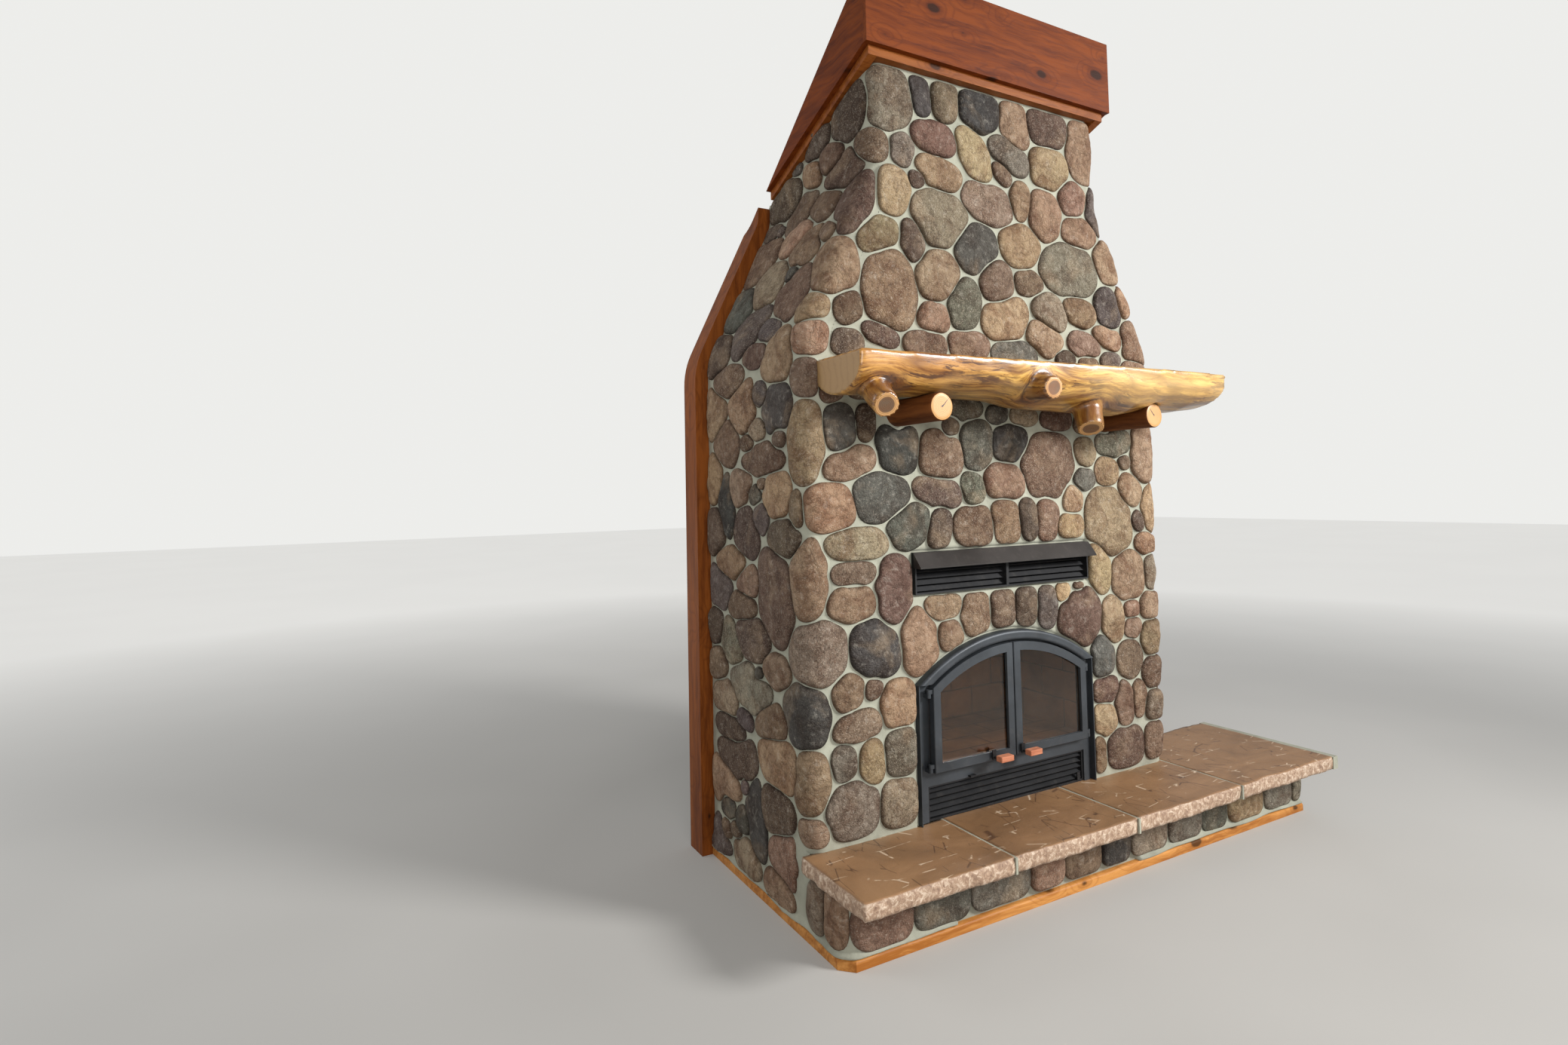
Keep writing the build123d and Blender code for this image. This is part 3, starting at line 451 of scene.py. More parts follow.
COATS = {
    MORTAR: ("slab_grout",),
    CORE: (
        "chimney_base", "hearth_plinth", "left_pier", "right_pier", "firebox_backing", "arch_head",
        "chimney_breast",
    ),
    SLAB: ("hearth_slab_1", "hearth_slab_2", "hearth_slab_3", "hearth_slab_4"),
    HONEY: ("mantel_log",),
    CORBEL: ("left_corbel", "right_corbel"),
    TRIM_X: ("base_trim",),
    STRIP_X: ("header_strip", "side_strips"),
    TRIM_Z: ("scribe_boards",),
    CEDAR_X: ("header_board",),
    CEDAR_Y: ("side_boards",),
    GRIP: ("left_latch_grip", "right_latch_grip"),
    CHARCOAL: (
        "insert_surround", "arch_hood", "hinge_lugs", "left_door_frame", "right_door_frame",
        "left_hinge_knuckles", "right_hinge_knuckles",
    ),
    BLACK: (
        "lower_grille", "vent_frame", "vent_louvres", "air_controls", "left_latch_lever", "right_latch_lever",
        "firebox_vault",
    ),
    BRONZE: ("vent_hood",),
    GLASS: ("left_door_glass", "right_door_glass"),
    BRICK_FLAT: ("firebox_floor",),
    BRICK_BACK: ("firebox_back",),
    BRICK_SIDE: ("firebox_left_wall", "firebox_right_wall"),
}
for coat, names in COATS.items():
    for node_name in names:
        NODES[node_name].data.materials.clear()
        NODES[node_name].data.materials.append(coat)


def unit(vector):
    return vector / np.linalg.norm(vector)


ARC_POINTS = 13
OUTLINE_STEP = 0.01


def rounded_line(points, radii):
    """Points an outline step apart along a line whose corners are rounded off."""
    points = [np.array(point, float) for point in points]
    line = [points[0]]
    for before, corner, after, radius in zip(points, points[1:], points[2:], radii):
        back = unit(before - corner)
        ahead = unit(after - corner)
        half = math.acos(np.dot(back, ahead)) / 2
        centre = corner + unit(back + ahead) * radius / math.sin(half)
        start = corner + back * radius / math.tan(half) - centre
        end = corner + ahead * radius / math.tan(half) - centre
        for share in np.linspace(0, 1, ARC_POINTS):
            line.append(centre + radius * unit(start * (1 - share) + end * share))
    line.append(points[-1])
    line = np.array(line)
    walked = np.concatenate([[0], np.cumsum(np.linalg.norm(np.diff(line, axis=0), axis=1))])
    stops = np.arange(0, walked[-1], OUTLINE_STEP)
    return np.stack([np.interp(stops, walked, line[:, axis]) for axis in (0, 1)], axis=1)


def headings(line):
    """The way along a line at each of its points, and the way out, square to it."""
    along = np.gradient(line, axis=0)
    along /= np.linalg.norm(along, axis=1)[:, None]
    return along, np.stack([along[:, 1], -along[:, 0]], axis=1)


def walk_to(line, distance):
    """What a line's points say at distances along it."""
    steps = np.arange(len(line)) * OUTLINE_STEP
    return np.stack([np.interp(distance, steps, line[:, axis]) for axis in (0, 1)], axis=1)


OUTLINE = rounded_line(
    [(HALF_BREAST, 0), (HALF_BREAST, SHOULDER_START), (NECK, SHOULDER_END), (NECK, OUTLINE_TOP)],
    (SHOULDER_RADIUS, NECK_RADIUS),
)
OUTLINE_ALONG, OUTLINE_OUT = headings(OUTLINE)


def fold(edge, out, outside, height):
    """Places at a height over the masonry and a distance outside its front edge, round the corner."""
    turn = np.clip((outside + CORNER) / CORNER_WALK, 0, 1) * math.pi / 2
    before = np.minimum(outside + CORNER, 0)
    past = np.maximum(outside + CORNER - CORNER_WALK, 0)
    reach = before - CORNER + (CORNER + height) * np.sin(turn)
    y = FRONT + CORNER - (CORNER + height) * np.cos(turn) + past
    flat = edge + out * reach[:, None]
    return np.stack([flat[:, 0], y, flat[:, 1]], axis=1)


BATCH = 20000


def by_outline(x, z):
    """For places on the front: distance along and outside the outline, its nearest point, the way out."""
    along, outside = np.empty(len(x)), np.empty(len(x))
    edge, out = np.empty((len(x), 2)), np.empty((len(x), 2))
    for start in range(0, len(x), BATCH):
        part = slice(start, start + BATCH)
        flat = np.stack([np.abs(x[part]), z[part]], axis=1)
        nearest = ((flat[:, None, :] - OUTLINE[None, :, :]) ** 2).sum(axis=2).argmin(axis=1)
        offset = flat - OUTLINE[nearest]
        walked = (offset * OUTLINE_ALONG[nearest]).sum(axis=1)
        along[part] = nearest * OUTLINE_STEP + walked
        outside[part] = (offset * OUTLINE_OUT[nearest]).sum(axis=1)
        edge[part] = OUTLINE[nearest] + OUTLINE_ALONG[nearest] * walked[:, None]
        out[part] = OUTLINE_OUT[nearest]
    return along, outside, edge, out


def on_front(u, v, height):
    """u is X, unfolded past the corners, and v is Z."""
    _, outside, edge, out = by_outline(u, v)
    points = fold(edge, out, outside, height)
    points[:, 0] *= np.where(u < 0, -1.0, 1.0)
    return points


def on_side(sign):
    """One side's chart: u is the depth behind the front face, and v the way up along the outline."""
    def place(u, v, height):
        outside = u + CORNER_WALK - 2 * CORNER
        points = fold(walk_to(OUTLINE, v), walk_to(OUTLINE_OUT, v), outside, height)
        points[:, 0] *= sign
        return points
    return place


# The hearth's masonry from above: its cut corner, and where stones stop short of the scribe boards
PLINTH_CUT = 0.03
SIDE_END = BOARD_FRONT - 0.012
PLINTH_LINE = rounded_line(
    [
        (-HALF_BREAST, SIDE_END), (-HALF_BREAST, PLINTH[0].y + PLINTH_CUT),
        (-HALF_BREAST + PLINTH_CUT, PLINTH[0].y), (PLINTH[1].x, PLINTH[0].y),
    ],
    (PLINTH_CUT, PLINTH_CUT),
)
PLINTH_OUT = headings(PLINTH_LINE)[1]


def on_plinth(u, v, height):
    """u is the way round the plinth from the scribe board on the left, and v is Z."""
    flat = walk_to(PLINTH_LINE, u) + walk_to(PLINTH_OUT, u) * height[:, None]
    return np.stack([flat[:, 0], flat[:, 1], v], axis=1)


# The insert's arched top, drawn round one centre
ARCH_HALF = INSERT[1].x
ARCH_RADIUS = 0.7066
ARCH_CENTRE = 0.2024

CORBELS = [
    ((low + high) / 2, (high.x - low.x) / 2)
    for low, high in (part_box("left_corbel"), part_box("right_corbel"))
]
# The side strips fall this far for each metre that they run back
STRIP_FALL = 0.2762 / 0.737
# Room left between stones and what they meet, and over the shoe moulding
STONE_ROOM = 0.007
PLINTH_ROOM = 0.004
TRIM_ROOM = 0.012
# Depths behind the front face where slabs no longer lie on stones, hearth stones end and low side
# ones begin
SLABS_END = 0.004
PLINTH_STONES_END = 0.10
SIDE_STONES_START = 0.09


def opening_room(points):
    """Distance from places on the masonry to the arch or the heat outlet, whichever is nearer."""
    x, _, z = points.T
    arch = np.maximum(np.abs(x) - ARCH_HALF, np.hypot(x, z - ARCH_CENTRE) - ARCH_RADIUS)
    outlet = np.maximum(np.abs(x) - VENT[1].x, np.maximum(z - VENT[1].z, VENT[0].z - z))
    return np.minimum(arch, outlet)


def clearance(points):
    """Distance from places on the masonry to the nearest opening, corbel, board or hearth."""
    x, y, z = points.T
    in_front = y < FRONT + CORNER * 0.5
    by_slabs = in_front | ((x > 0) & (y < SLAB_BACK))
    gaps = [
        z - np.where(by_slabs, HEARTH_TOP, TRIM_TOP),
        STRIP_BOTTOM - np.maximum(y - FRONT, 0) * STRIP_FALL - z,
        opening_room(points),
    ]
    for centre, radius in CORBELS:
        gaps.append(np.where(in_front, np.hypot(x - centre.x, z - centre.z) - radius, 1.0))
    return np.min(gaps, axis=0)


def front_rule(points):
    return clearance(points) > STONE_ROOM


def side_rule(points):
    above = (points[:, 2] > HEARTH_TOP) | (points[:, 1] > FRONT + SIDE_STONES_START)
    return (clearance(points) > STONE_ROOM) & (points[:, 1] < SIDE_END) & above


def plinth_clearance(points):
    """Distance from places under the hearth to the moulding, the slabs and both ends."""
    x, y, z = points.T
    top = np.where(y < FRONT + SLABS_END, PLINTH[1].z, HEARTH_TOP)
    return np.min([z - TRIM_TOP, top - z, PLINTH[1].x - x, FRONT + PLINTH_STONES_END - y], axis=0)


def plinth_rule(points):
    return (plinth_clearance(points) > PLINTH_ROOM) & (points[:, 2] > TRIM_TOP + TRIM_ROOM)


# Stone colours, as they look on a screen
TINTS = {
    "tan": (0.61, 0.51, 0.40),
    "buff": (0.56, 0.50, 0.42),
    "gold": (0.64, 0.545, 0.425),
    "pink": (0.605, 0.495, 0.395),
    "rose": (0.53, 0.425, 0.35),
    "brown": (0.485, 0.40, 0.315),
    "umber": (0.38, 0.31, 0.255),
    "maroon": (0.42, 0.33, 0.28),
    "plum": (0.37, 0.325, 0.305),
    "grey": (0.49, 0.46, 0.40),
    "moss": (0.42, 0.41, 0.345),
    "slate": (0.36, 0.35, 0.315),
    "coal": (0.275, 0.265, 0.245),
}
GLOSS = {"coal": 0.16, "slate": 0.08, "plum": 0.06}
GRAIN = {"grey": 0.85, "buff": 0.75, "moss": 0.6, "coal": 0.1, "slate": 0.25, "brown": 0.5}

# Front stones: X and Z of the middle, width and height in millimetres, lean in degrees and colour.
# X past the breast's edge counts on round the corner.
FRONT_STONES = (
    (-868, 340, 125, 85, 0, "tan"), (-878, 495, 150, 200, 0, "tan"), (-907, 705, 220, 195, 0, "coal"),
    (-840, 912, 235, 200, 0, "buff"), (-875, 1150, 152, 275, 0, "tan"), (-709, 388, 205, 165, 0, "grey"),
    (-522, 378, 155, 148, 0, "buff"), (-744, 547, 88, 110, 0, "grey"), (-629, 530, 92, 140, 0, "gold"),
    (-510, 547, 122, 165, 0, "grey"), (-686, 658, 195, 92, 5, "tan"), (-513, 707, 145, 155, 0, "pink"),
    (-722, 772, 135, 112, 35, "brown"), (-617, 772, 72, 62, 20, "umber"),
    (-607, 905, 212, 178, -18, "coal"), (-422, 912, 150, 228, 8, "tan"),
    (-520, 1092, 148, 228, 0, "maroon"), (-693, 1060, 200, 110, 0, "tan"), (-686, 1162, 192, 70, 0, "rose"),
    (-665, 1262, 262, 98, 0, "buff"), (-305, 1024, 168, 90, 0, "gold"), (-280, 920, 110, 100, 15, "rose"),
    (-160, 988, 132, 156, 0, "brown"), (-24, 993, 114, 144, 0, "brown"), (96, 993, 108, 144, 0, "umber"),
    (208, 983, 96, 172, 0, "plum"), (295, 1027, 82, 78, 0, "gold"), (380, 1046, 66, 40, 0, "rose"),
    (388, 930, 225, 225, -30, "maroon"), (505, 1115, 135, 225, 18, "gold"), (672, 1068, 208, 190, 0, "tan"),
    (838, 1075, 118, 165, 0, "buff"), (815, 1190, 165, 88, -5, "tan"), (570, 900, 128, 185, 0, "gold"),
    (690, 930, 90, 70, 0, "rose"), (695, 850, 95, 80, 0, "tan"), (503, 755, 118, 160, 0, "slate"),
    (670, 722, 142, 145, 0, "brown"), (520, 617, 160, 98, 0, "maroon"), (505, 503, 142, 118, -20, "gold"),
    (622, 550, 100, 185, 8, "rose"), (718, 560, 78, 150, 0, "brown"), (468, 370, 78, 135, 0, "gold"),
    (625, 375, 212, 148, 0, "maroon"), (825, 935, 150, 110, 0, "pink"), (828, 800, 160, 140, 0, "tan"),
    (830, 655, 170, 125, 0, "brown"), (825, 520, 135, 125, 0, "buff"), (820, 372, 160, 145, 0, "rose"),
    (-785, 1385, 218, 148, 0, "pink"), (-910, 1378, 82, 135, 0, "brown"), (-873, 1608, 152, 268, 0, "pink"),
    (-690, 1535, 228, 98, 14, "pink"), (-560, 1415, 238, 158, 0, "slate"),
    (-450, 1318, 195, 150, 24, "slate"), (-733, 1652, 122, 158, 0, "coal"),
    (-625, 1672, 72, 120, 0, "umber"), (-488, 1585, 178, 168, 0, "coal"), (-300, 1567, 198, 164, 0, "rose"),
    (-320, 1430, 226, 98, -8, "maroon"), (-128, 1603, 148, 188, 0, "slate"),
    (-152, 1442, 104, 118, 0, "moss"), (-315, 1300, 98, 145, -12, "umber"),
    (-148, 1303, 185, 134, 0, "brown"), (8, 1315, 140, 165, 20, "brown"), (122, 1318, 88, 152, 8, "umber"),
    (222, 1315, 118, 156, 0, "brown"), (5, 1468, 204, 128, -5, "pink"), (38, 1610, 182, 138, 15, "coal"),
    (240, 1523, 280, 232, 0, "brown"), (352, 1286, 152, 88, 0, "tan"), (367, 1395, 100, 118, 0, "tan"),
    (432, 1468, 122, 84, 0, "slate"), (445, 1578, 118, 108, 0, "gold"), (575, 1292, 262, 280, -12, "tan"),
    (573, 1497, 128, 118, 0, "tan"), (622, 1617, 208, 110, 0, "moss"), (682, 1540, 74, 62, 0, "umber"),
    (710, 1418, 148, 124, -18, "tan"), (815, 1570, 190, 240, 0, "pink"), (862, 1345, 165, 200, 0, "tan"),
    (750, 1292, 92, 80, -15, "umber"), (-175, 1730, 162, 80, 0, "moss"), (-20, 1716, 118, 66, 0, "slate"),
    (110, 1712, 142, 66, 0, "buff"), (-250, 1665, 70, 90, -45, "umber"), (290, 1705, 160, 78, 0, "maroon"),
    (452, 1690, 120, 70, 0, "tan"), (-865, 1818, 120, 130, 0, "maroon"), (-760, 1800, 95, 120, 0, "rose"),
    (-640, 1815, 120, 110, 0, "brown"), (-490, 1830, 150, 100, 0, "tan"), (-330, 1830, 150, 90, 0, "grey"),
    (-170, 1845, 150, 110, 0, "tan"), (-10, 1835, 150, 120, 0, "brown"), (150, 1835, 150, 110, 0, "pink"),
    (310, 1830, 150, 110, 0, "tan"), (460, 1820, 130, 110, 0, "slate"), (600, 1820, 130, 110, 0, "tan"),
    (740, 1790, 130, 120, 0, "brown"), (865, 1785, 130, 140, 0, "tan"), (680, 1710, 90, 60, 0, "rose"),
    (-850, 1960, 160, 120, 8, "tan"), (-692, 1945, 126, 86, 0, "umber"),
    (-548, 1985, 158, 72, -14, "maroon"), (-350, 1963, 200, 84, 0, "brown"),
    (-148, 1972, 204, 98, 0, "rose"), (78, 1958, 244, 92, 0, "slate"), (355, 1955, 110, 60, 0, "umber"),
    (-685, 2070, 120, 104, 28, "brown"), (-503, 2147, 218, 268, -8, "tan"),
    (-312, 2063, 138, 104, 0, "tan"), (-165, 2125, 142, 190, -14, "moss"), (40, 2085, 230, 162, 14, "tan"),
    (240, 2030, 188, 134, -20, "tan"), (275, 2128, 178, 146, -32, "buff"),
    (468, 2013, 178, 100, -8, "rose"), (612, 2055, 190, 82, -12, "pink"),
    (445, 2148, 180, 106, -14, "gold"), (612, 2178, 128, 165, 22, "plum"), (800, 2050, 208, 192, 0, "pink"),
    (620, 1962, 122, 62, 0, "plum"), (765, 1935, 150, 70, 0, "tan"), (490, 1945, 110, 60, 0, "brown"),
    (-835, 2072, 140, 110, 0, "tan"), (-745, 2222, 195, 212, 12, "tan"), (-545, 2340, 188, 112, 24, "gold"),
    (-400, 2336, 104, 170, 12, "umber"), (-290, 2222, 204, 168, 18, "gold"),
    (0, 2228, 158, 172, 20, "rose"), (168, 2240, 152, 96, 0, "brown"), (742, 2222, 140, 138, 0, "pink"),
    (390, 2318, 316, 196, 0, "moss"), (640, 2380, 188, 172, 0, "pink"), (130, 2382, 208, 158, 0, "gold"),
    (-100, 2342, 210, 178, 14, "coal"), (-655, 2468, 165, 268, -22, "maroon"),
    (-275, 2432, 262, 198, 0, "buff"), (-480, 2500, 138, 174, 0, "gold"), (-372, 2565, 68, 62, 0, "umber"),
    (-575, 2662, 160, 114, 0, "brown"), (-440, 2665, 104, 124, 0, "grey"),
    (-270, 2600, 210, 112, -12, "tan"), (-30, 2525, 256, 142, -12, "buff"),
    (460, 2480, 200, 114, 0, "pink"), (268, 2520, 170, 198, 0, "rose"), (135, 2560, 98, 148, 0, "tan"),
    (580, 2588, 132, 198, -10, "plum"), (425, 2615, 144, 138, 0, "rose"), (42, 2655, 106, 66, -38, "brown"),
    (300, 2720, 200, 162, 0, "gold"), (85, 2735, 210, 112, -24, "grey"), (-95, 2705, 128, 222, 32, "gold"),
    (-288, 2733, 200, 112, -6, "maroon"), (505, 2838, 190, 268, 0, "pink"),
    (297, 2888, 234, 152, 0, "maroon"), (118, 2864, 148, 192, 8, "pink"), (-65, 2880, 200, 162, 0, "coal"),
    (-230, 2885, 118, 154, 0, "brown"), (-348, 2880, 84, 158, 10, "coal"),
    (-490, 2840, 192, 224, 0, "grey"),
)

# Left side stones: Y and Z of the middle, then as above
LEFT_STONES = (
    (-255, 1065, 245, 292, 0, "maroon"), (-20, 1300, 176, 178, 0, "maroon"),
    (150, 1395, 150, 230, 0, "coal"), (-270, 1430, 200, 152, 0, "tan"), (-280, 1730, 222, 160, 0, "coal"),
    (-295, 1910, 192, 160, 0, "tan"), (-105, 1948, 188, 80, 8, "maroon"), (110, 1870, 230, 110, 0, "brown"),
    (130, 1640, 205, 168, 0, "brown"), (-165, 1560, 330, 102, 0, "brown"), (130, 540, 222, 104, 5, "umber"),
    (-75, 262, 150, 275, 0, "coal"), (165, 235, 112, 84, 0, "slate"), (-110, 790, 62, 54, 0, "slate"),
    (100, 1170, 240, 120, 0, "tan"), (20, 1020, 230, 110, 0, "brown"), (-200, 640, 240, 110, -10, "brown"),
    (-250, 830, 180, 110, 8, "rose"),
)

# Stones under the hearth's left end: Y of the middle, width and colour
PLINTH_END_STONES = ((-475, 105, "buff"), (-570, 92, "pink"))

# Plinth stones along the front: X of the middle, width and colour
PLINTH_STONES = (
    (-725, 205, "rose"), (-497, 232, "slate"), (-246, 262, "grey"), (-30, 158, "pink"), (148, 192, "brown"),
    (318, 158, "coal"), (507, 208, "buff"), (715, 200, "grey"), (902, 160, "slate"), (1115, 242, "tan"),
    (1347, 208, "grey"), (1470, 60, "moss"),
)


class Stone:
    """One cobble: its middle and half sizes on the unfolded masonry, its lean and its colour."""

    def __init__(self, place, u, v, width, height, lean, color):
        self.place = place
        self.u = u
        self.v = v
        self.half = (width / 2, height / 2)
        self.lean = math.radians(lean)
        self.color = color
        steps = np.array([(0, 0), (MM, 0), (0, MM)]) + (u, v)
        middle, right, up = place(steps[:, 0], steps[:, 1], np.full(3, SKIN))
        across, upward = unit(right - middle), unit(up - middle)
        self.middle = middle
        self.across = across * math.cos(self.lean) + upward * math.sin(self.lean)
        self.upward = upward * math.cos(self.lean) - across * math.sin(self.lean)
        self.out = unit(np.cross(across, upward))

    def nearness(self, points):
        """How many half sizes away each point is."""
        offset = points - self.middle
        parts = (offset @ self.across / self.half[0], offset @ self.upward / self.half[1])
        return np.sqrt(parts[0] ** 2 + parts[1] ** 2 + (offset @ self.out / self.half[0]) ** 2)

    def reach(self, angles, power):
        """Distance from the middle to the stone's own rounded outline."""
        own = angles - self.lean
        shares = (np.abs(np.cos(own)) / self.half[0]) ** power + (np.abs(np.sin(own)) / self.half[1]) ** power
        return shares ** (-1 / power)


RAY_STOPS = np.linspace(0.3, 1.0, 32)
SMALLEST_REACH = 0.012


def outline_of(stone, neighbours, rule, rays, growth, joint):
    """A stone's outline as distances along rays, stopped by neighbours and by what the rule bars."""
    angles = np.arange(rays) * 2 * math.pi / rays
    longest = stone.reach(angles, 2.9) * growth
    plain = stone.reach(angles, 2.0)
    walk = RAY_STOPS[None, :] * longest[:, None]
    u = stone.u + walk * np.cos(angles)[:, None]
    v = stone.v + walk * np.sin(angles)[:, None]
    points = stone.place(u.ravel(), v.ravel(), np.full(u.size, SKIN))
    own = (walk / plain[:, None]).ravel()
    taken = ~rule(points)
    for other in neighbours:
        taken |= other.nearness(points) < own
    taken = taken.reshape(walk.shape)
    first = np.where(taken.any(axis=1), taken.argmax(axis=1), len(RAY_STOPS) - 1)
    limit = walk[np.arange(rays), first] - np.where(taken.any(axis=1), joint, 0)
    reach = limit.copy()
    for _ in range(max(3, rays // 9)):
        reach = 0.25 * np.roll(reach, 1) + 0.5 * reach + 0.25 * np.roll(reach, -1)
        reach = np.minimum(reach, limit + 0.002)
    wobble = sum(
        rng.uniform(-1, 1) * np.cos(order * angles + rng.uniform(0, 6)) / order for order in (3, 4, 5, 7)
    )
    return angles, np.maximum(reach * (1 + 0.018 * wobble), SMALLEST_REACH)


def new_piece(name, points, faces, materials):
    """A smooth object in the scene, made from points and faces."""
    data = bpy.data.meshes.new(name)
    data.from_pydata(np.asarray(points).tolist(), [], [tuple(face) for face in faces])
    for material in materials:
        data.materials.append(material)
    data.polygons.foreach_set("use_smooth", [True] * len(data.polygons))
    data.update()
    piece = bpy.data.objects.new(name, data)
    bpy.context.scene.collection.objects.link(piece)
    return piece


def band(upper, lower):
    """Faces between two rings of as many points."""
    size = len(upper)
    return [(upper[(k + 1) % size], upper[k], lower[k], lower[(k + 1) % size]) for k in range(size)]


def attach(data, name, values):
    """Stores a number, a vector or a colour for each point of a mesh."""
    values = np.asarray(values, np.float32)
    kind, key = {1: ("FLOAT", "value"), 3: ("FLOAT_VECTOR", "vector"), 4: ("FLOAT_COLOR", "color")}[
        values.size // len(values)
    ]
    data.attributes.new(name, kind, "POINT").data.foreach_set(key, values.ravel())


def settle(piece, slot, *replaced):
    """Says what a piece moves with and which solids it stands in for; the slot for what it is made of is not
    used.
    """
    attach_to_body(piece, "root")
    if replaced:
        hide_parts(*replaced)


class Heap:
    """Stones gathered into one mesh."""

    def __init__(self):
        self.points = []
        self.faces = []
        self.tints = []
        self.kinds = []
        self.count = 0

    def add_stone(self, rings, tint, kind):
        """Rings of points joined one to the next and closed at both ends."""
        size = len(rings[0])
        base = self.count
        for index, ring in enumerate(rings):
            self.points.append(ring)
            # The alpha holds each ring's share of the way up, which the stone paint uses to paint shade at
            # the rim.
            self.tints += [tint[:3] + (index / len(rings),)] * size
        for level in range(len(rings) - 1):
            low = base + level * size
            high = low + size
            for k in range(size):
                after = (k + 1) % size
                self.faces.append((low + k, low + after, high + after, high + k))
        total = size * len(rings)
        self.points.append(rings[-1].mean(axis=0)[None, :])
        self.tints.append(tint[:3] + (1.0,))
        top = base + total - size
        for k in range(size):
            self.faces.append((top + k, top + (k + 1) % size, base + total))
        self.faces.append(tuple(base + k for k in reversed(range(size))))
        self.kinds += [kind] * (total + 1)
        self.count += total + 1

    def mesh(self, name, flipped):
        faces = [tuple(reversed(face)) for face in self.faces] if flipped else self.faces
        piece = new_piece(name, np.concatenate(self.points), faces, [STONE])
        attach(piece.data, "tint", self.tints)
        attach(piece.data, "kind", self.kinds)
        return piece


def lump(points, scale, seed):
    """Smooth random height at each point, from minus one to one."""
    return np.array([noise.noise(Vector(point) * scale + Vector((seed, seed * 0.7, 0))) for point in points])


# A stone's rings: share of its outline and height at the rim, then shares of the way up its pillow
STONE_RIM = ((0.955, -0.002), (0.985, 0.006), (1.0, 0.012))
STONE_RISE = (0.12, 0.25, 0.38, 0.52, 0.66, 0.80, 0.92)
RIM_TOP = STONE_RIM[-1][1]
JOINTS = (0.0035, 0.0075)
PROUD = (0.031, 0.043)
HIGHEST = 0.047
# A stone that reaches less than this on any side stands out less
SLIM_REACH = 0.045
FACET_SOFTNESS = 0.0018


def lay_stone(heap, stone, neighbours, rule, growth):
    """Carves one stone: a pillow over its outline, cut by a few soft facets and roughened."""
    size = 2 * max(stone.half)
    rays = 32 if size < 0.10 else 44 if size < 0.18 else 56 if size < 0.26 else 68
    joint = rng.uniform(*JOINTS)
    angles, reach = outline_of(stone, neighbours, rule, rays, growth, joint)
    stone.outline = (angles, reach)
    slim = min(1.0, reach.min() / SLIM_REACH)
    proud = rng.uniform(*PROUD) * (0.66 + 0.34 * slim)
    power = rng.uniform(2.0, 2.5)
    middle = (stone.half[0] + stone.half[1]) / 2
    seed = rng.uniform(0, 90)
    facets = []
    for _ in range(rng.randint(3, 5)):
        way = rng.uniform(0, 2 * math.pi)
        slope = rng.uniform(0.12, 0.46) * proud / middle
        facets.append((way, slope, rng.uniform(0.84, 1.04) * proud))
    rings = []
    shapes = [(spread, height, 0.0) for spread, height in STONE_RIM]
    for share in STONE_RISE:
        turn = share * math.pi / 2
        bulge = math.sin(turn) ** (2 / power)
        lift = RIM_TOP + (proud - RIM_TOP) * bulge
        shapes.append((math.cos(turn) ** (2 / power), lift, min(1.0, 0.15 + max(0.0, share - 0.15) * 2.2)))
    for spread, height, weight in shapes:
        du = reach * spread * np.cos(angles)
        dv = reach * spread * np.sin(angles)
        level = np.full(rays, height)
        if weight:
            cuts = [level] + [
                top - slope * (du * math.cos(way) + dv * math.sin(way)) for way, slope, top in facets
            ]
            level = -FACET_SOFTNESS * np.log(sum(np.exp(-cut / FACET_SOFTNESS) for cut in cuts))
            here = np.stack([stone.u + du, stone.v + dv, np.full(rays, seed)], axis=1)
            rough = 0.0036 * lump(here, 11.0, seed) + 0.0024 * lump(here, 25.0, seed + 5)
            rough += 0.0013 * lump(here, 58.0, seed + 9)
            rough += 0.0055 * (0.22 - np.abs(lump(here, 8.5, seed + 13)))
            level = np.maximum(level + weight * rough, RIM_TOP + 0.004)
        rings.append(stone.place(stone.u + du, stone.v + dv, np.minimum(level, HIGHEST)))
    shade = rng.uniform(0.88, 1.12)
    tint = linear(tuple(min(1.0, c * shade * rng.uniform(0.97, 1.03)) for c in TINTS[stone.color]))
    grain = GRAIN.get(stone.color, 0.4) * rng.uniform(0.4, 1.3)
    heap.add_stone(rings, tint, (rng.uniform(0, 40), grain, GLOSS.get(stone.color, 0.0)))


def ripple(points, length, seed):
    """Gentle random waves over many points at once, from minus one to one."""
    waves = random.Random(seed)
    total = np.zeros(len(points))
    for _ in range(7):
        way = np.array([waves.uniform(-1, 1) for _ in range(3)])
        way *= 2 * math.pi / (length * waves.uniform(0.6, 1.6)) / np.linalg.norm(way)
        total += np.sin(points @ way + waves.uniform(0, 6))
    return total / 4.5


def smoothstep(value, low, high):
    share = np.clip((value - low) / (high - low), 0, 1)
    return share * share * (3 - 2 * share)


def seen_from(stone, chart):
    """A stone's outline as it lies on a chart: its own, or turned over from the front to the sides."""
    angles, reach = stone.outline
    u = stone.u + reach * np.cos(angles)
    v = stone.v + reach * np.sin(angles)
    if chart == "side" and stone.place is on_front:
        along, outside, _, _ = by_outline(np.append(u, stone.u), np.append(v, stone.v))
        depth = outside - CORNER_WALK + 2 * CORNER
        middle = (depth[-1], along[-1])
        du, dv = depth[:-1] - middle[0], along[:-1] - middle[1]
        turned = np.arctan2(dv, du)
        order = np.argsort(turned)
        return middle, turned[order], np.hypot(du, dv)[order]
    return (stone.u, stone.v), angles, reach


SKIN_STEP = 0.006
MORTAR_HEIGHT = 0.0085
# Mortar is measured to a stone's outline up to this far round it, and counts as this far off elsewhere
AROUND_STONE = 0.03
FAR_OFF = 0.05
# The mortar rises this much against a stone, and levels out within this distance
RISE_AT_STONE = 0.0036
RISE_SPREAD = 0.007
# Close to an opening it sinks below the masonry's face over this band
TURN_IN = (0.001, 0.012)
TURN_DEPTH = 0.005
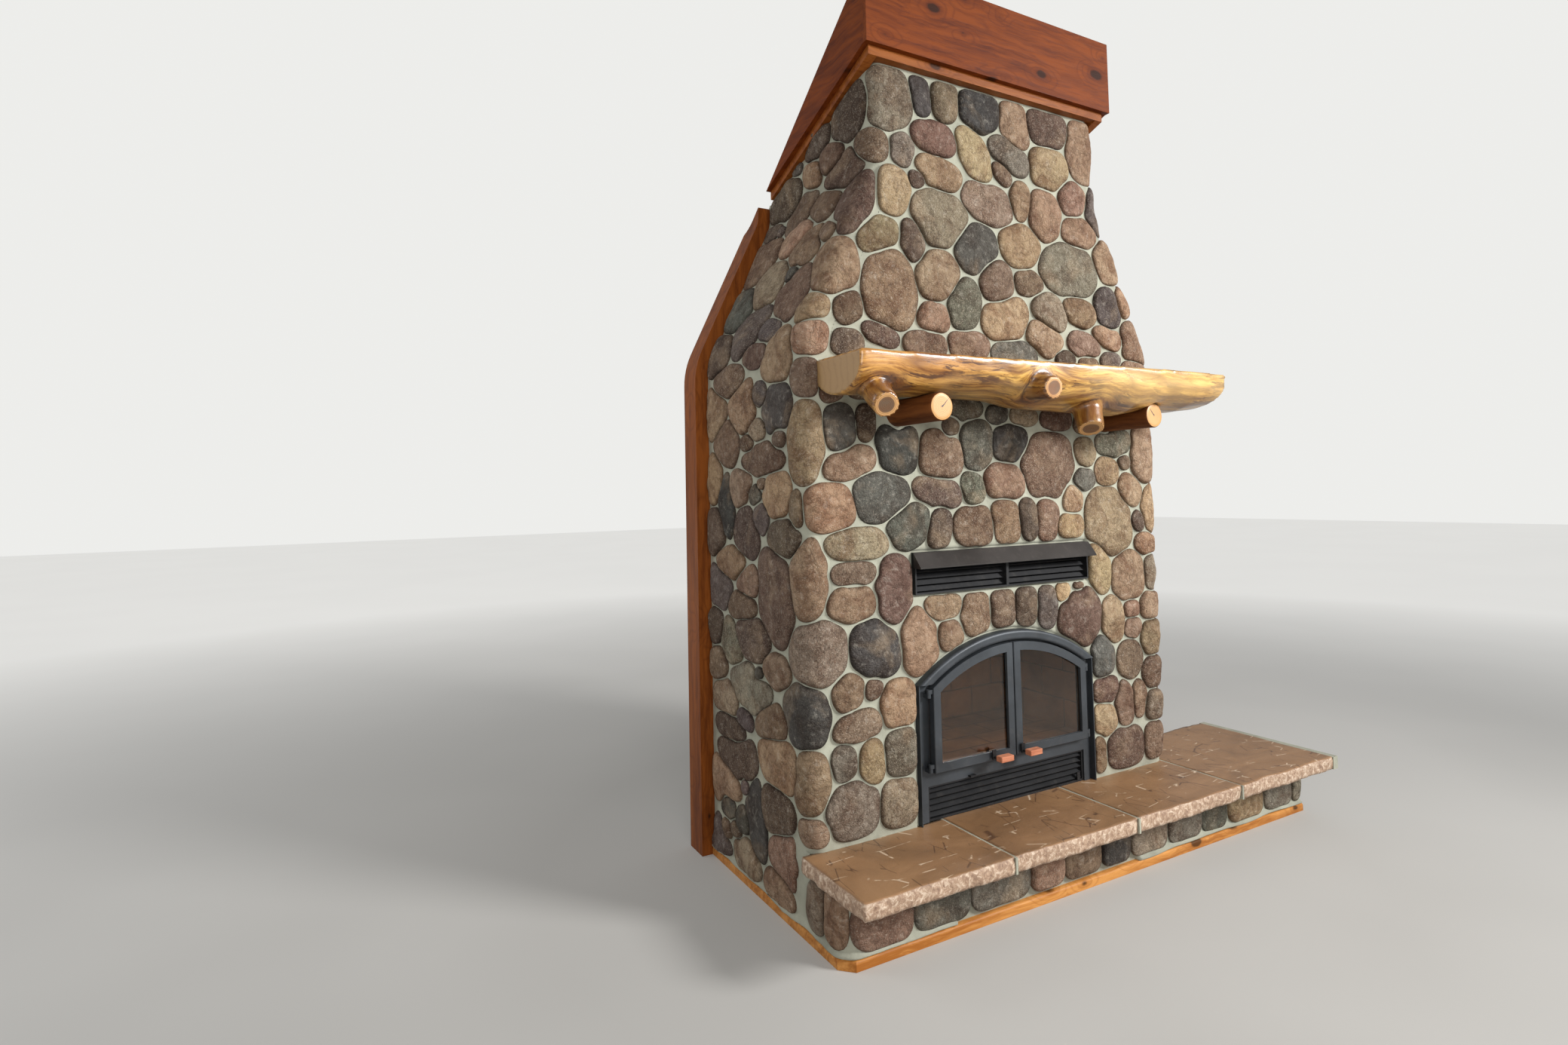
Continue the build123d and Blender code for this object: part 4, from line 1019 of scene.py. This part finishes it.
# How far it runs on under stones and under what borders it
UNDER_STONE = 0.012
TUCK = 0.008


def plaster(name, place, chart, u_range, v_range, keep, stones, flipped=False, bead=None):
    """A mortar skin that rises to each stone it meets and turns in at the openings."""
    u_stops = np.arange(u_range[0], u_range[1] + SKIN_STEP / 2, SKIN_STEP)
    v_stops = np.arange(v_range[0], v_range[1] + SKIN_STEP / 2, SKIN_STEP)
    uu, vv = np.meshgrid(u_stops, v_stops)
    u, v = uu.ravel(), vv.ravel()
    flat = place(u, v, np.zeros(u.size))
    beyond = np.full(u.size, FAR_OFF)
    for stone in stones:
        middle, angles, reach = seen_from(stone, chart)
        span = reach.max() + AROUND_STONE
        near = np.flatnonzero((np.abs(u - middle[0]) < span) & (np.abs(v - middle[1]) < span))
        du, dv = u[near] - middle[0], v[near] - middle[1]
        around = np.interp(np.arctan2(dv, du), angles, reach, period=2 * math.pi)
        beyond[near] = np.minimum(beyond[near], np.hypot(du, dv) - around)
    height = MORTAR_HEIGHT + 0.0013 * ripple(flat, 0.13, 3) + 0.0006 * ripple(flat, 0.035, 4)
    height += RISE_AT_STONE * np.exp(-np.maximum(beyond, 0) / RISE_SPREAD)
    if bead:
        height += bead(flat)
    shown = smoothstep(opening_room(flat), *TURN_IN)
    height = height * shown - TURN_DEPTH * (1 - shown)
    points = place(u, v, height)
    inside = keep(flat)
    columns = len(u_stops)
    corner = np.arange(u.size).reshape(vv.shape)[:-1, :-1].ravel()
    quads = np.stack([corner, corner + 1, corner + columns + 1, corner + columns], axis=1)
    quads = quads[inside[quads].all(axis=1) & (beyond[quads].max(axis=1) > -UNDER_STONE)]
    used, places = np.unique(quads, return_inverse=True)
    quads = places.reshape(quads.shape)
    if flipped:
        quads = quads[:, ::-1]
    settle(new_piece(name, points[used], quads, [MORTAR]), "mortar")


SIDE_COLORS = (
    "tan", "tan", "pink", "rose", "brown", "brown", "brown", "umber", "umber", "maroon", "buff", "grey",
    "plum", "slate",
)
# Scattered stones fill up both sides, the large ones first
SIDE_AREA = ((SIDE_STONES_START, SIDE_END - FRONT - 0.02), (0.05, OUTLINE_TOP))
SIDE_SIZES = (0.24, 0.08)
SIDE_TRIES = 1400
NEIGHBOUR_REACH = 0.5


def neighbours_of(stone, others):
    return [
        other for other in others
        if other is not stone and np.linalg.norm(other.middle - stone.middle) < NEIGHBOUR_REACH
    ]


def scatter(place, taken):
    """Fills a side with stones of mixed sizes that keep clear of those already there."""
    added = []
    for attempt in range(SIDE_TRIES):
        share = attempt / SIDE_TRIES
        size = SIDE_SIZES[0] + (SIDE_SIZES[1] - SIDE_SIZES[0]) * share * rng.uniform(0.8, 1.2)
        u = rng.uniform(*SIDE_AREA[0])
        v = rng.uniform(*SIDE_AREA[1])
        width = size * rng.uniform(0.85, 1.35)
        height = size * rng.uniform(0.6, 0.95)
        color = rng.choice(SIDE_COLORS)
        stone = Stone(place, u, v, width, height, rng.uniform(-12, 12), color)
        if side_rule(stone.middle[None, :])[0] and all(
            other.nearness(stone.middle[None, :])[0] > 1 + 0.85 * min(stone.half) / max(other.half)
            and np.linalg.norm(other.middle - stone.middle) > 0.8 * (min(stone.half) + min(other.half))
            for other in neighbours_of(stone, taken + added)
        ):
            added.append(stone)
    return added


left_place, right_place = on_side(-1), on_side(1)
front_stones = [
    Stone(on_front, x * MM, z * MM, w * MM, h * MM, lean, color) for x, z, w, h, lean, color in FRONT_STONES
]
left_stones = [
    Stone(left_place, y * MM - FRONT, z * MM, w * MM, h * MM, lean, color)
    for y, z, w, h, lean, color in LEFT_STONES
]
plinth_steps = np.arange(len(PLINTH_LINE)) * OUTLINE_STEP
plinth_front = np.flatnonzero(PLINTH_LINE[:, 1] < PLINTH[0].y + MM)
PLINTH_MIDDLE = 0.128
plinth_stones = [
    Stone(on_plinth, SIDE_END - y * MM, PLINTH_MIDDLE + 0.01, w * MM, 0.17, 0, color)
    for y, w, color in PLINTH_END_STONES
]
for x, w, color in PLINTH_STONES:
    u = float(np.interp(x * MM, PLINTH_LINE[plinth_front, 0], plinth_steps[plinth_front]))
    plinth_stones.append(Stone(on_plinth, u, PLINTH_MIDDLE, w * MM, 0.172, 0, color))
taken = front_stones + left_stones + plinth_stones
left_stones += scatter(left_place, taken)
right_stones = scatter(right_place, taken)
everywhere = front_stones + left_stones + right_stones + plinth_stones


def lay(name, chosen, rule, growth, flipped=False):
    """Lays a group of stones among all their neighbours as one piece."""
    heap = Heap()
    for stone in chosen:
        lay_stone(heap, stone, neighbours_of(stone, everywhere), rule, growth)
    settle(heap.mesh(name, flipped), "river_stone")


# The front is parted at this height, so that no piece grows too heavy
PARTING = 1.7
lay("front_stones_low", [stone for stone in front_stones if stone.v < PARTING], front_rule, 1.15)
lay("front_stones_high", [stone for stone in front_stones if stone.v >= PARTING], front_rule, 1.15)
lay("left_side_stones", left_stones, side_rule, 1.45, True)
lay("right_side_stones", right_stones, side_rule, 1.4)
lay("plinth_stones", plinth_stones, plinth_rule, 1.14)

# The front's skin ends inside the outline, where the sides' skins, which turn the corners, begin
FRONT_LIMIT = -0.080
SIDE_SKIN_START = -0.096
# Behind the front face by this depth the sides' skins go down past the hearth's top
LOW_SKIN_START = 0.05


def keep_front(points):
    _, outside, _, _ = by_outline(points[:, 0], points[:, 2])
    return (clearance(points) > -TUCK) & (outside < FRONT_LIMIT)


def keep_side(points):
    above = (points[:, 2] > HEARTH_TOP - TUCK) | (points[:, 1] > FRONT + LOW_SKIN_START)
    return (clearance(points) > -TUCK) & above


def keep_plinth(points):
    return plinth_clearance(points) > -TUCK


BEAD_HEIGHT = 0.016
BEAD_MIDDLE = 0.007
BEAD_SPREAD = 0.008


def trim_bead(points):
    """Wavy pale mortar pushed over the top of the shoe moulding."""
    over = (points[:, 2] - TRIM_TOP - BEAD_MIDDLE - 0.006 * ripple(points, 0.16, 8)) / BEAD_SPREAD
    return BEAD_HEIGHT * np.exp(-over ** 2)


plaster(
    "front_mortar", on_front, "front", (-HALF_BREAST, HALF_BREAST),
    (HEARTH_TOP - 0.005, STRIP_BOTTOM + 0.005), keep_front, front_stones,
)
along_end = OUTLINE_STEP * (len(OUTLINE) - 1)
depth_end = BOARD_FRONT - FRONT + 0.006
skin_foot = TRIM_TOP - 0.006
for label, sign, place, stones, bead in (
    ("left", -1, left_place, left_stones, trim_bead), ("right", 1, right_place, right_stones, None),
):
    near = stones + [stone for stone in front_stones if stone.u * sign > 0]
    plaster(
        label + "_side_mortar", place, "side", (SIDE_SKIN_START, depth_end), (skin_foot, along_end),
        keep_side, near, sign < 0, bead,
    )
plaster(
    "plinth_mortar", on_plinth, "plinth", (SIDE_END - FRONT - SIDE_STONES_START, plinth_steps[-1]),
    (skin_foot, HEARTH_TOP), keep_plinth, plinth_stones, False, trim_bead,
)

SLAB_STEP = 0.012
SLAB_LEVELS = 6
BROKEN_REACH = 0.045


def slab(name, low, high, rough_sides, seed):
    """A cleft slab: a gently uneven top, and broken faces on the sides that show."""
    xs = np.linspace(low[0], high[0], max(2, round((high[0] - low[0]) / SLAB_STEP)))
    ys = np.linspace(low[1], high[1], max(2, round((high[1] - low[1]) / SLAB_STEP)))
    columns, rows = len(xs), len(ys)
    gx, gy = np.meshgrid(xs, ys)
    top = np.stack([gx.ravel(), gy.ravel(), np.full(gx.size, high[2])], axis=1)
    border = (
        [k for k in range(columns)] + [columns - 1 + columns * k for k in range(1, rows)]
        + [columns * (rows - 1) + k for k in range(columns - 2, -1, -1)]
        + [columns * k for k in range(rows - 2, 0, -1)]
    )
    faces = [
        (k + columns * j, k + 1 + columns * j, k + 1 + columns * (j + 1), k + columns * (j + 1))
        for j in range(rows - 1) for k in range(columns - 1)
    ]
    points = [top]
    upper = border
    count = len(top)
    for level in range(1, SLAB_LEVELS + 1):
        ring = top[border].copy()
        ring[:, 2] = high[2] + (low[2] - high[2]) * level / SLAB_LEVELS
        points.append(ring)
        lower = list(range(count, count + len(border)))
        faces += band(upper, lower)
        upper = lower
        count += len(border)
    faces.append(tuple(reversed(upper)))
    points = np.concatenate(points)
    share = (high[2] - points[:, 2]) / (high[2] - low[2])
    bite = 0.0055 + 0.006 * lump(points, 9.0, seed) + 0.005 * lump(points, 24.0, seed + 3)
    bite = np.clip(bite, 0.0, 0.016) + np.clip(0.004 * lump(points, 55.0, seed + 5), 0.0, 0.004)
    bite += 0.004 * np.clip(1 - share * 5, 0, 1) + 0.003 * np.clip(share * 4 - 3, 0, 1)
    for side in rough_sides:
        axis, edge, way = {
            "front": (1, low[1], 1), "left": (0, low[0], 1), "back": (1, high[1], -1),
        }[side]
        fade = smoothstep(np.abs(points[:, axis] - edge), BROKEN_REACH, 0.0)
        points[:, axis] += way * bite * fade
    on_top = share < 0.01
    swell = 0.0011 * (ripple(points, 0.22, seed) - 1) + 0.0004 * ripple(points, 0.05, seed + 1)
    points[on_top, 2] += swell[on_top]
    settle(new_piece(name + "_cleft", points, faces, [SLAB]), "sandstone", name)


# Each slab: the sides that show, a seed, and where it ends under the masonry instead of at its own back
UNDER_MASONRY = FRONT + 0.02
for slab_name, rough_sides, seed, back in (
    ("hearth_slab_1", ("front", "left"), 11.0, FRONT),
    ("hearth_slab_2", ("front",), 18.0, UNDER_MASONRY),
    ("hearth_slab_3", ("front",), 25.0, UNDER_MASONRY),
    ("hearth_slab_4", ("front", "back"), 32.0, None),
):
    low, high = (list(corner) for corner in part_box(slab_name))
    high[1] = high[1] if back is None else back
    slab(slab_name, low, high, rough_sides, seed)

# The mantel's branches: root, direction, radius and length
BRANCHES = (
    ((-0.705, -0.600, 1.788), (-0.30, -0.84, -0.45), 0.044, 0.205),
    ((-0.075, -0.640, 1.799), (-0.10, -0.98, -0.15), 0.043, 0.165),
    ((0.235, -0.650, 1.765), (-0.30, -0.40, -0.87), 0.050, 0.134),
)
MANTEL_TOP = MANTEL[1].z
MANTEL_ENDS = ((-0.820, -1), (0.905, 1))
# The log's round as its sawn ends show it: its pith, on the masonry's face, and its radius
PITH_HEIGHT = 1.80
LOG_RADIUS = 0.30
# Patches of bark left on it: places and radii
BARK_SPOTS = ((-0.70, -0.66, 1.80, 0.10), (-0.33, -0.78, 1.86, 0.05), (0.30, -0.72, 1.77, 0.07))
# How dark the wood gets round a branch, along it and in the patches of bark
COLLAR_STAIN = 0.56
STUB_STAIN = 0.28
SPOT_STAIN = 0.50


def softened(node):
    """A node's mesh made anew of even faces, with its arrises worn, in the shared frame."""
    rough = node.copy()
    rough.data = node.data.copy()
    bpy.context.scene.collection.objects.link(rough)
    remesh = rough.modifiers.new("even", "REMESH")
    remesh.mode = "VOXEL"
    remesh.voxel_size = 0.006
    soften = rough.modifiers.new("soften", "SMOOTH")
    soften.factor = 0.5
    soften.iterations = 16
    shaped = rough.evaluated_get(bpy.context.evaluated_depsgraph_get())
    data = bpy.data.meshes.new_from_object(shaped)
    data.transform(rough.matrix_world)
    bpy.data.objects.remove(rough)
    return data


def read(data, what):
    """A mesh's places or normals, one to each point."""
    values = np.empty(len(data.vertices) * 3)
    data.vertices.foreach_get(what, values)
    return values.reshape(-1, 3)


def hewn_log():
    """The mantel with its faces left uneven by the drawknife, its branch stubs and its sawn ends."""
    data = softened(NODES["mantel_log"])
    points, normals = read(data, "co"), read(data, "normal")
    count = len(points)
    drawn = points * np.array([0.35, 1, 1])
    shift = 0.0022 * (lump(drawn, 9.0, 4.0) - 0.5) + 0.0012 * (lump(drawn, 30.0, 8.0) - 0.5)
    shift = np.where(points[:, 1] > FRONT - 0.02, 0, shift)
    stain = np.zeros(count)
    bend = np.zeros((count, 3))
    ring = np.zeros((count, 3))
    ends = np.zeros(count, int)
    for root, way, radius, length in BRANCHES:
        way = unit(np.array(way))
        side = unit(np.cross(way, (0.0, 0.0, 1.0)))
        upward = np.cross(side, way)
        offset = points - np.array(root)
        along = offset @ way
        across = np.stack([offset @ side, offset @ upward], axis=1)
        away = np.hypot(across[:, 0], across[:, 1])
        tip = (along > length - 0.010) & (away < radius * 1.15) & (normals @ way > 0.80)
        ends[tip] = 1
        ring[tip, :2] = across[tip] / radius
        points[tip] += way * (np.median(along[tip]) - along[tip])[:, None]
        aside = unit(np.cross(way, (1.0, 0.0, 0.0)))
        stub = smoothstep(away, radius * 1.8, radius * 1.2) * smoothstep(along, 0.02, 0.07)
        swerve = np.minimum((radius * 1.3 / np.maximum(away, 0.001)) ** 2, 1.0)
        swerve = swerve * (along > -0.05) * (1 - stub)
        bend -= aside * (offset @ aside * swerve)[:, None] + way * (0.85 * along * stub)[:, None]
        close = (along > 0) & (along < length) & (away < radius * 2.2)
        collar = smoothstep(away, radius * 1.9, radius * 1.15)
        collar = collar * smoothstep(along, length - 0.012, length - 0.05)
        stain = np.maximum(stain, np.where(close, COLLAR_STAIN * collar, 0))
        bark = (away < radius * 1.3) & (along > length * 0.25) & ~tip
        stain = np.where(bark, STUB_STAIN, stain)
    for x, y, z, radius in BARK_SPOTS:
        away = np.linalg.norm((points - (x, y, z)) * np.array([0.6, 1, 1.3]), axis=1)
        stain = np.maximum(stain, SPOT_STAIN * smoothstep(away, radius, radius * 0.3))
    for edge, sign in MANTEL_ENDS:
        sawn = (np.abs(points[:, 0] - edge) < 0.012) & (normals[:, 0] * sign > 0.8)
        ends[sawn] = 2
        points[sawn, 0] = edge
        ring[sawn, 0] = (points[sawn, 1] - FRONT) / LOG_RADIUS
        ring[sawn, 1] = (points[sawn, 2] - PITH_HEIGHT) / LOG_RADIUS
    top = (points[:, 2] > MANTEL_TOP - 0.008) & (normals[:, 2] > 0.75)
    points[top, 2] = MANTEL_TOP
    points += normals * np.where(ends > 0, 0, shift)[:, None]
    data.vertices.foreach_set("co", points.ravel())
    data.materials.clear()
    for material in (HONEY, BRANCH_END, LOG_END):
        data.materials.append(material)
    corners = np.empty(len(data.loops), int)
    data.loops.foreach_get("vertex_index", corners)
    starts = np.empty(len(data.polygons), int)
    data.polygons.foreach_get("loop_start", starts)
    data.polygons.foreach_set("material_index", np.minimum.reduceat(ends[corners], starts).astype(np.int32))
    data.polygons.foreach_set("use_smooth", [True] * len(data.polygons))
    for label, values in (("stain", stain), ("ring", ring), ("bend", bend)):
        attach(data, label, values)
    data.update()
    piece = bpy.data.objects.new("hewn_mantel", data)
    bpy.context.scene.collection.objects.link(piece)
    settle(piece, "varnished_log", "mantel_log")


hewn_log()


PEG_SIDES = 56


def peg_log(name, seed):
    """A round corbel, slightly out of true, with its arris eased and its sawn end in front."""
    low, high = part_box(name)
    centre_x, centre_z = (low.x + high.x) / 2, (low.z + high.z) / 2
    radius = (high.x - low.x) / 2
    turn = np.arange(PEG_SIDES) * 2 * math.pi / PEG_SIDES
    flank = [(y, 1.0) for y in np.linspace(high.y, low.y + 0.004, 26)]
    arris = [(low.y + 0.0012, 0.975), (low.y, 0.94)]
    end = [(low.y, share) for share in (0.7, 0.45, 0.2)]
    points, faces = [], []
    for y, share in flank + arris + end:
        depth = np.full(PEG_SIDES, y)
        spots = np.stack([np.cos(turn) * 0.1, np.full(PEG_SIDES, y * 0.4), np.sin(turn) * 0.1], axis=1)
        size = radius * share * (0.972 + 0.028 * lump(spots, 12.0, seed))
        points.append(
            np.stack([centre_x + size * np.cos(turn), depth, centre_z + size * np.sin(turn)], axis=1)
        )
    circles = [range(level * PEG_SIDES, (level + 1) * PEG_SIDES) for level in range(len(points))]
    for behind, ahead in zip(circles, circles[1:]):
        faces += band(behind, ahead)
    faces += [tuple(reversed(circles[-1])), tuple(circles[0])]
    points = np.concatenate(points)
    piece = new_piece(name + "_log", points, faces, [CORBEL, CORBEL_END])
    first_sawn = (len(flank + arris) - 1) * PEG_SIDES
    sawn = [int(first_sawn <= index < len(faces) - 1) for index in range(len(faces))]
    piece.data.polygons.foreach_set("material_index", sawn)
    ring = np.zeros((len(points), 3), np.float32)
    lean = 0.35 + seed
    ax, az = (points[:, 0] - centre_x) / radius, (points[:, 2] - centre_z) / radius
    ring[:, 0] = ax * math.cos(lean) + az * math.sin(lean)
    ring[:, 1] = az * math.cos(lean) - ax * math.sin(lean)
    attach(piece.data, "ring", ring)
    settle(piece, "corbel_wood", name)


peg_log("left_corbel", 0.4)
peg_log("right_corbel", 1.9)

for node_name in (
    "base_trim", "header_board", "header_strip", "side_boards", "side_strips", "scribe_boards", "vent_hood",
):
    soft = NODES[node_name].modifiers.new("eased", "BEVEL")
    soft.width = 0.002
    soft.segments = 2
    soft.limit_method = "ANGLE"


def studio_floor_paint():
    """Plain studio surface that glows more and more towards the backdrop, a painted light."""
    p = Paint("studio_floor")
    tone = p.noise(0.6, 2.0, 0.5)
    # Painted light: the floor glows more the farther it lies from the middle.
    far = p.span(p.length(p.place), 1.6, 9.0, 0.06, 0.64)
    p.bsdf.inputs["Emission Color"].default_value = linear((0.95, 0.95, 0.94))
    p.feed(p.bsdf.inputs["Emission Strength"], far)
    return p.done(p.ramp(tone, (0.4, (0.70, 0.69, 0.67)), (0.6, (0.72, 0.71, 0.69))), 0.9)


bpy.ops.mesh.primitive_plane_add(size=60, location=(0, 0, -0.0006))
floor = bpy.context.object
floor.name = "studio_floor"
floor.data.materials.append(studio_floor_paint())

world = bpy.data.worlds.new("studio")
bpy.context.scene.world = world
world.use_nodes = True
sky = world.node_tree
backdrop = sky.nodes["Background"]
backdrop.inputs["Color"].default_value = (1.0, 1.0, 1.0, 1.0)
backdrop.inputs["Strength"].default_value = 0.34
seen = sky.nodes.new("ShaderNodeBackground")
seen.inputs["Color"].default_value = linear((0.93, 0.93, 0.92))
ray = sky.nodes.new("ShaderNodeLightPath")
either = sky.nodes.new("ShaderNodeMath")
either.operation = "MAXIMUM"
sky.links.new(ray.outputs["Is Camera Ray"], either.inputs[0])
sky.links.new(ray.outputs["Is Transmission Ray"], either.inputs[1])
choose = sky.nodes.new("ShaderNodeMixShader")
sky.links.new(either.outputs[0], choose.inputs[0])
sky.links.new(backdrop.outputs[0], choose.inputs[1])
sky.links.new(seen.outputs[0], choose.inputs[2])
sky.links.new(choose.outputs[0], sky.nodes["World Output"].inputs["Surface"])


def lamp(name, place, target, size, power):
    data = bpy.data.lights.new(name, "AREA")
    data.shape = "DISK"
    data.size = size
    data.energy = power
    data.spread = math.radians(80)
    light = bpy.data.objects.new(name, data)
    light.location = place
    direction = Vector(target) - Vector(place)
    light.rotation_euler = direction.to_track_quat("-Z", "Y").to_euler()
    bpy.context.scene.collection.objects.link(light)


lamp("key", (3.7, -5.2, 3.9), (0, -0.4, 1.4), 1.8, 116)
lamp("fill", (-2.8, -5.2, 2.6), (-0.2, -0.4, 1.3), 3.0, 27)
lamp("rim", (-4.5, 2.5, 3.8), (-0.5, 0, 1.5), 2.5, 12)


def aim_camera():
    """Camera where the photograph was taken from, with its lens and its shift."""
    eye = (-2.2105, -2.7457, 1.4406)
    yaw, pitch, roll = (math.radians(angle) for angle in (28.911, 2.7075, -1.1749))
    ahead = Vector((math.sin(yaw) * math.cos(pitch), math.cos(yaw) * math.cos(pitch), math.sin(pitch)))
    right = Vector((math.cos(yaw), -math.sin(yaw), 0))
    up = right.cross(ahead)
    across = right * math.cos(roll) + up * math.sin(roll)
    upward = up * math.cos(roll) - right * math.sin(roll)
    data = bpy.data.cameras.new("camera")
    data.sensor_fit = "HORIZONTAL"
    data.sensor_width = 36
    frame_width, frame_height = 2080, 1386
    focal_pixels, principal_row = 1078.15, 601.94
    data.lens = focal_pixels * data.sensor_width / frame_width
    data.shift_y = (principal_row - frame_height / 2) / frame_width
    camera = bpy.data.objects.new("camera", data)
    facing = Matrix((across, upward, -ahead)).transposed().to_4x4()
    camera.matrix_world = Matrix.Translation(eye) @ facing
    bpy.context.scene.collection.objects.link(camera)
    bpy.context.scene.camera = camera


aim_camera()
bpy.context.scene.view_settings.view_transform = "Standard"
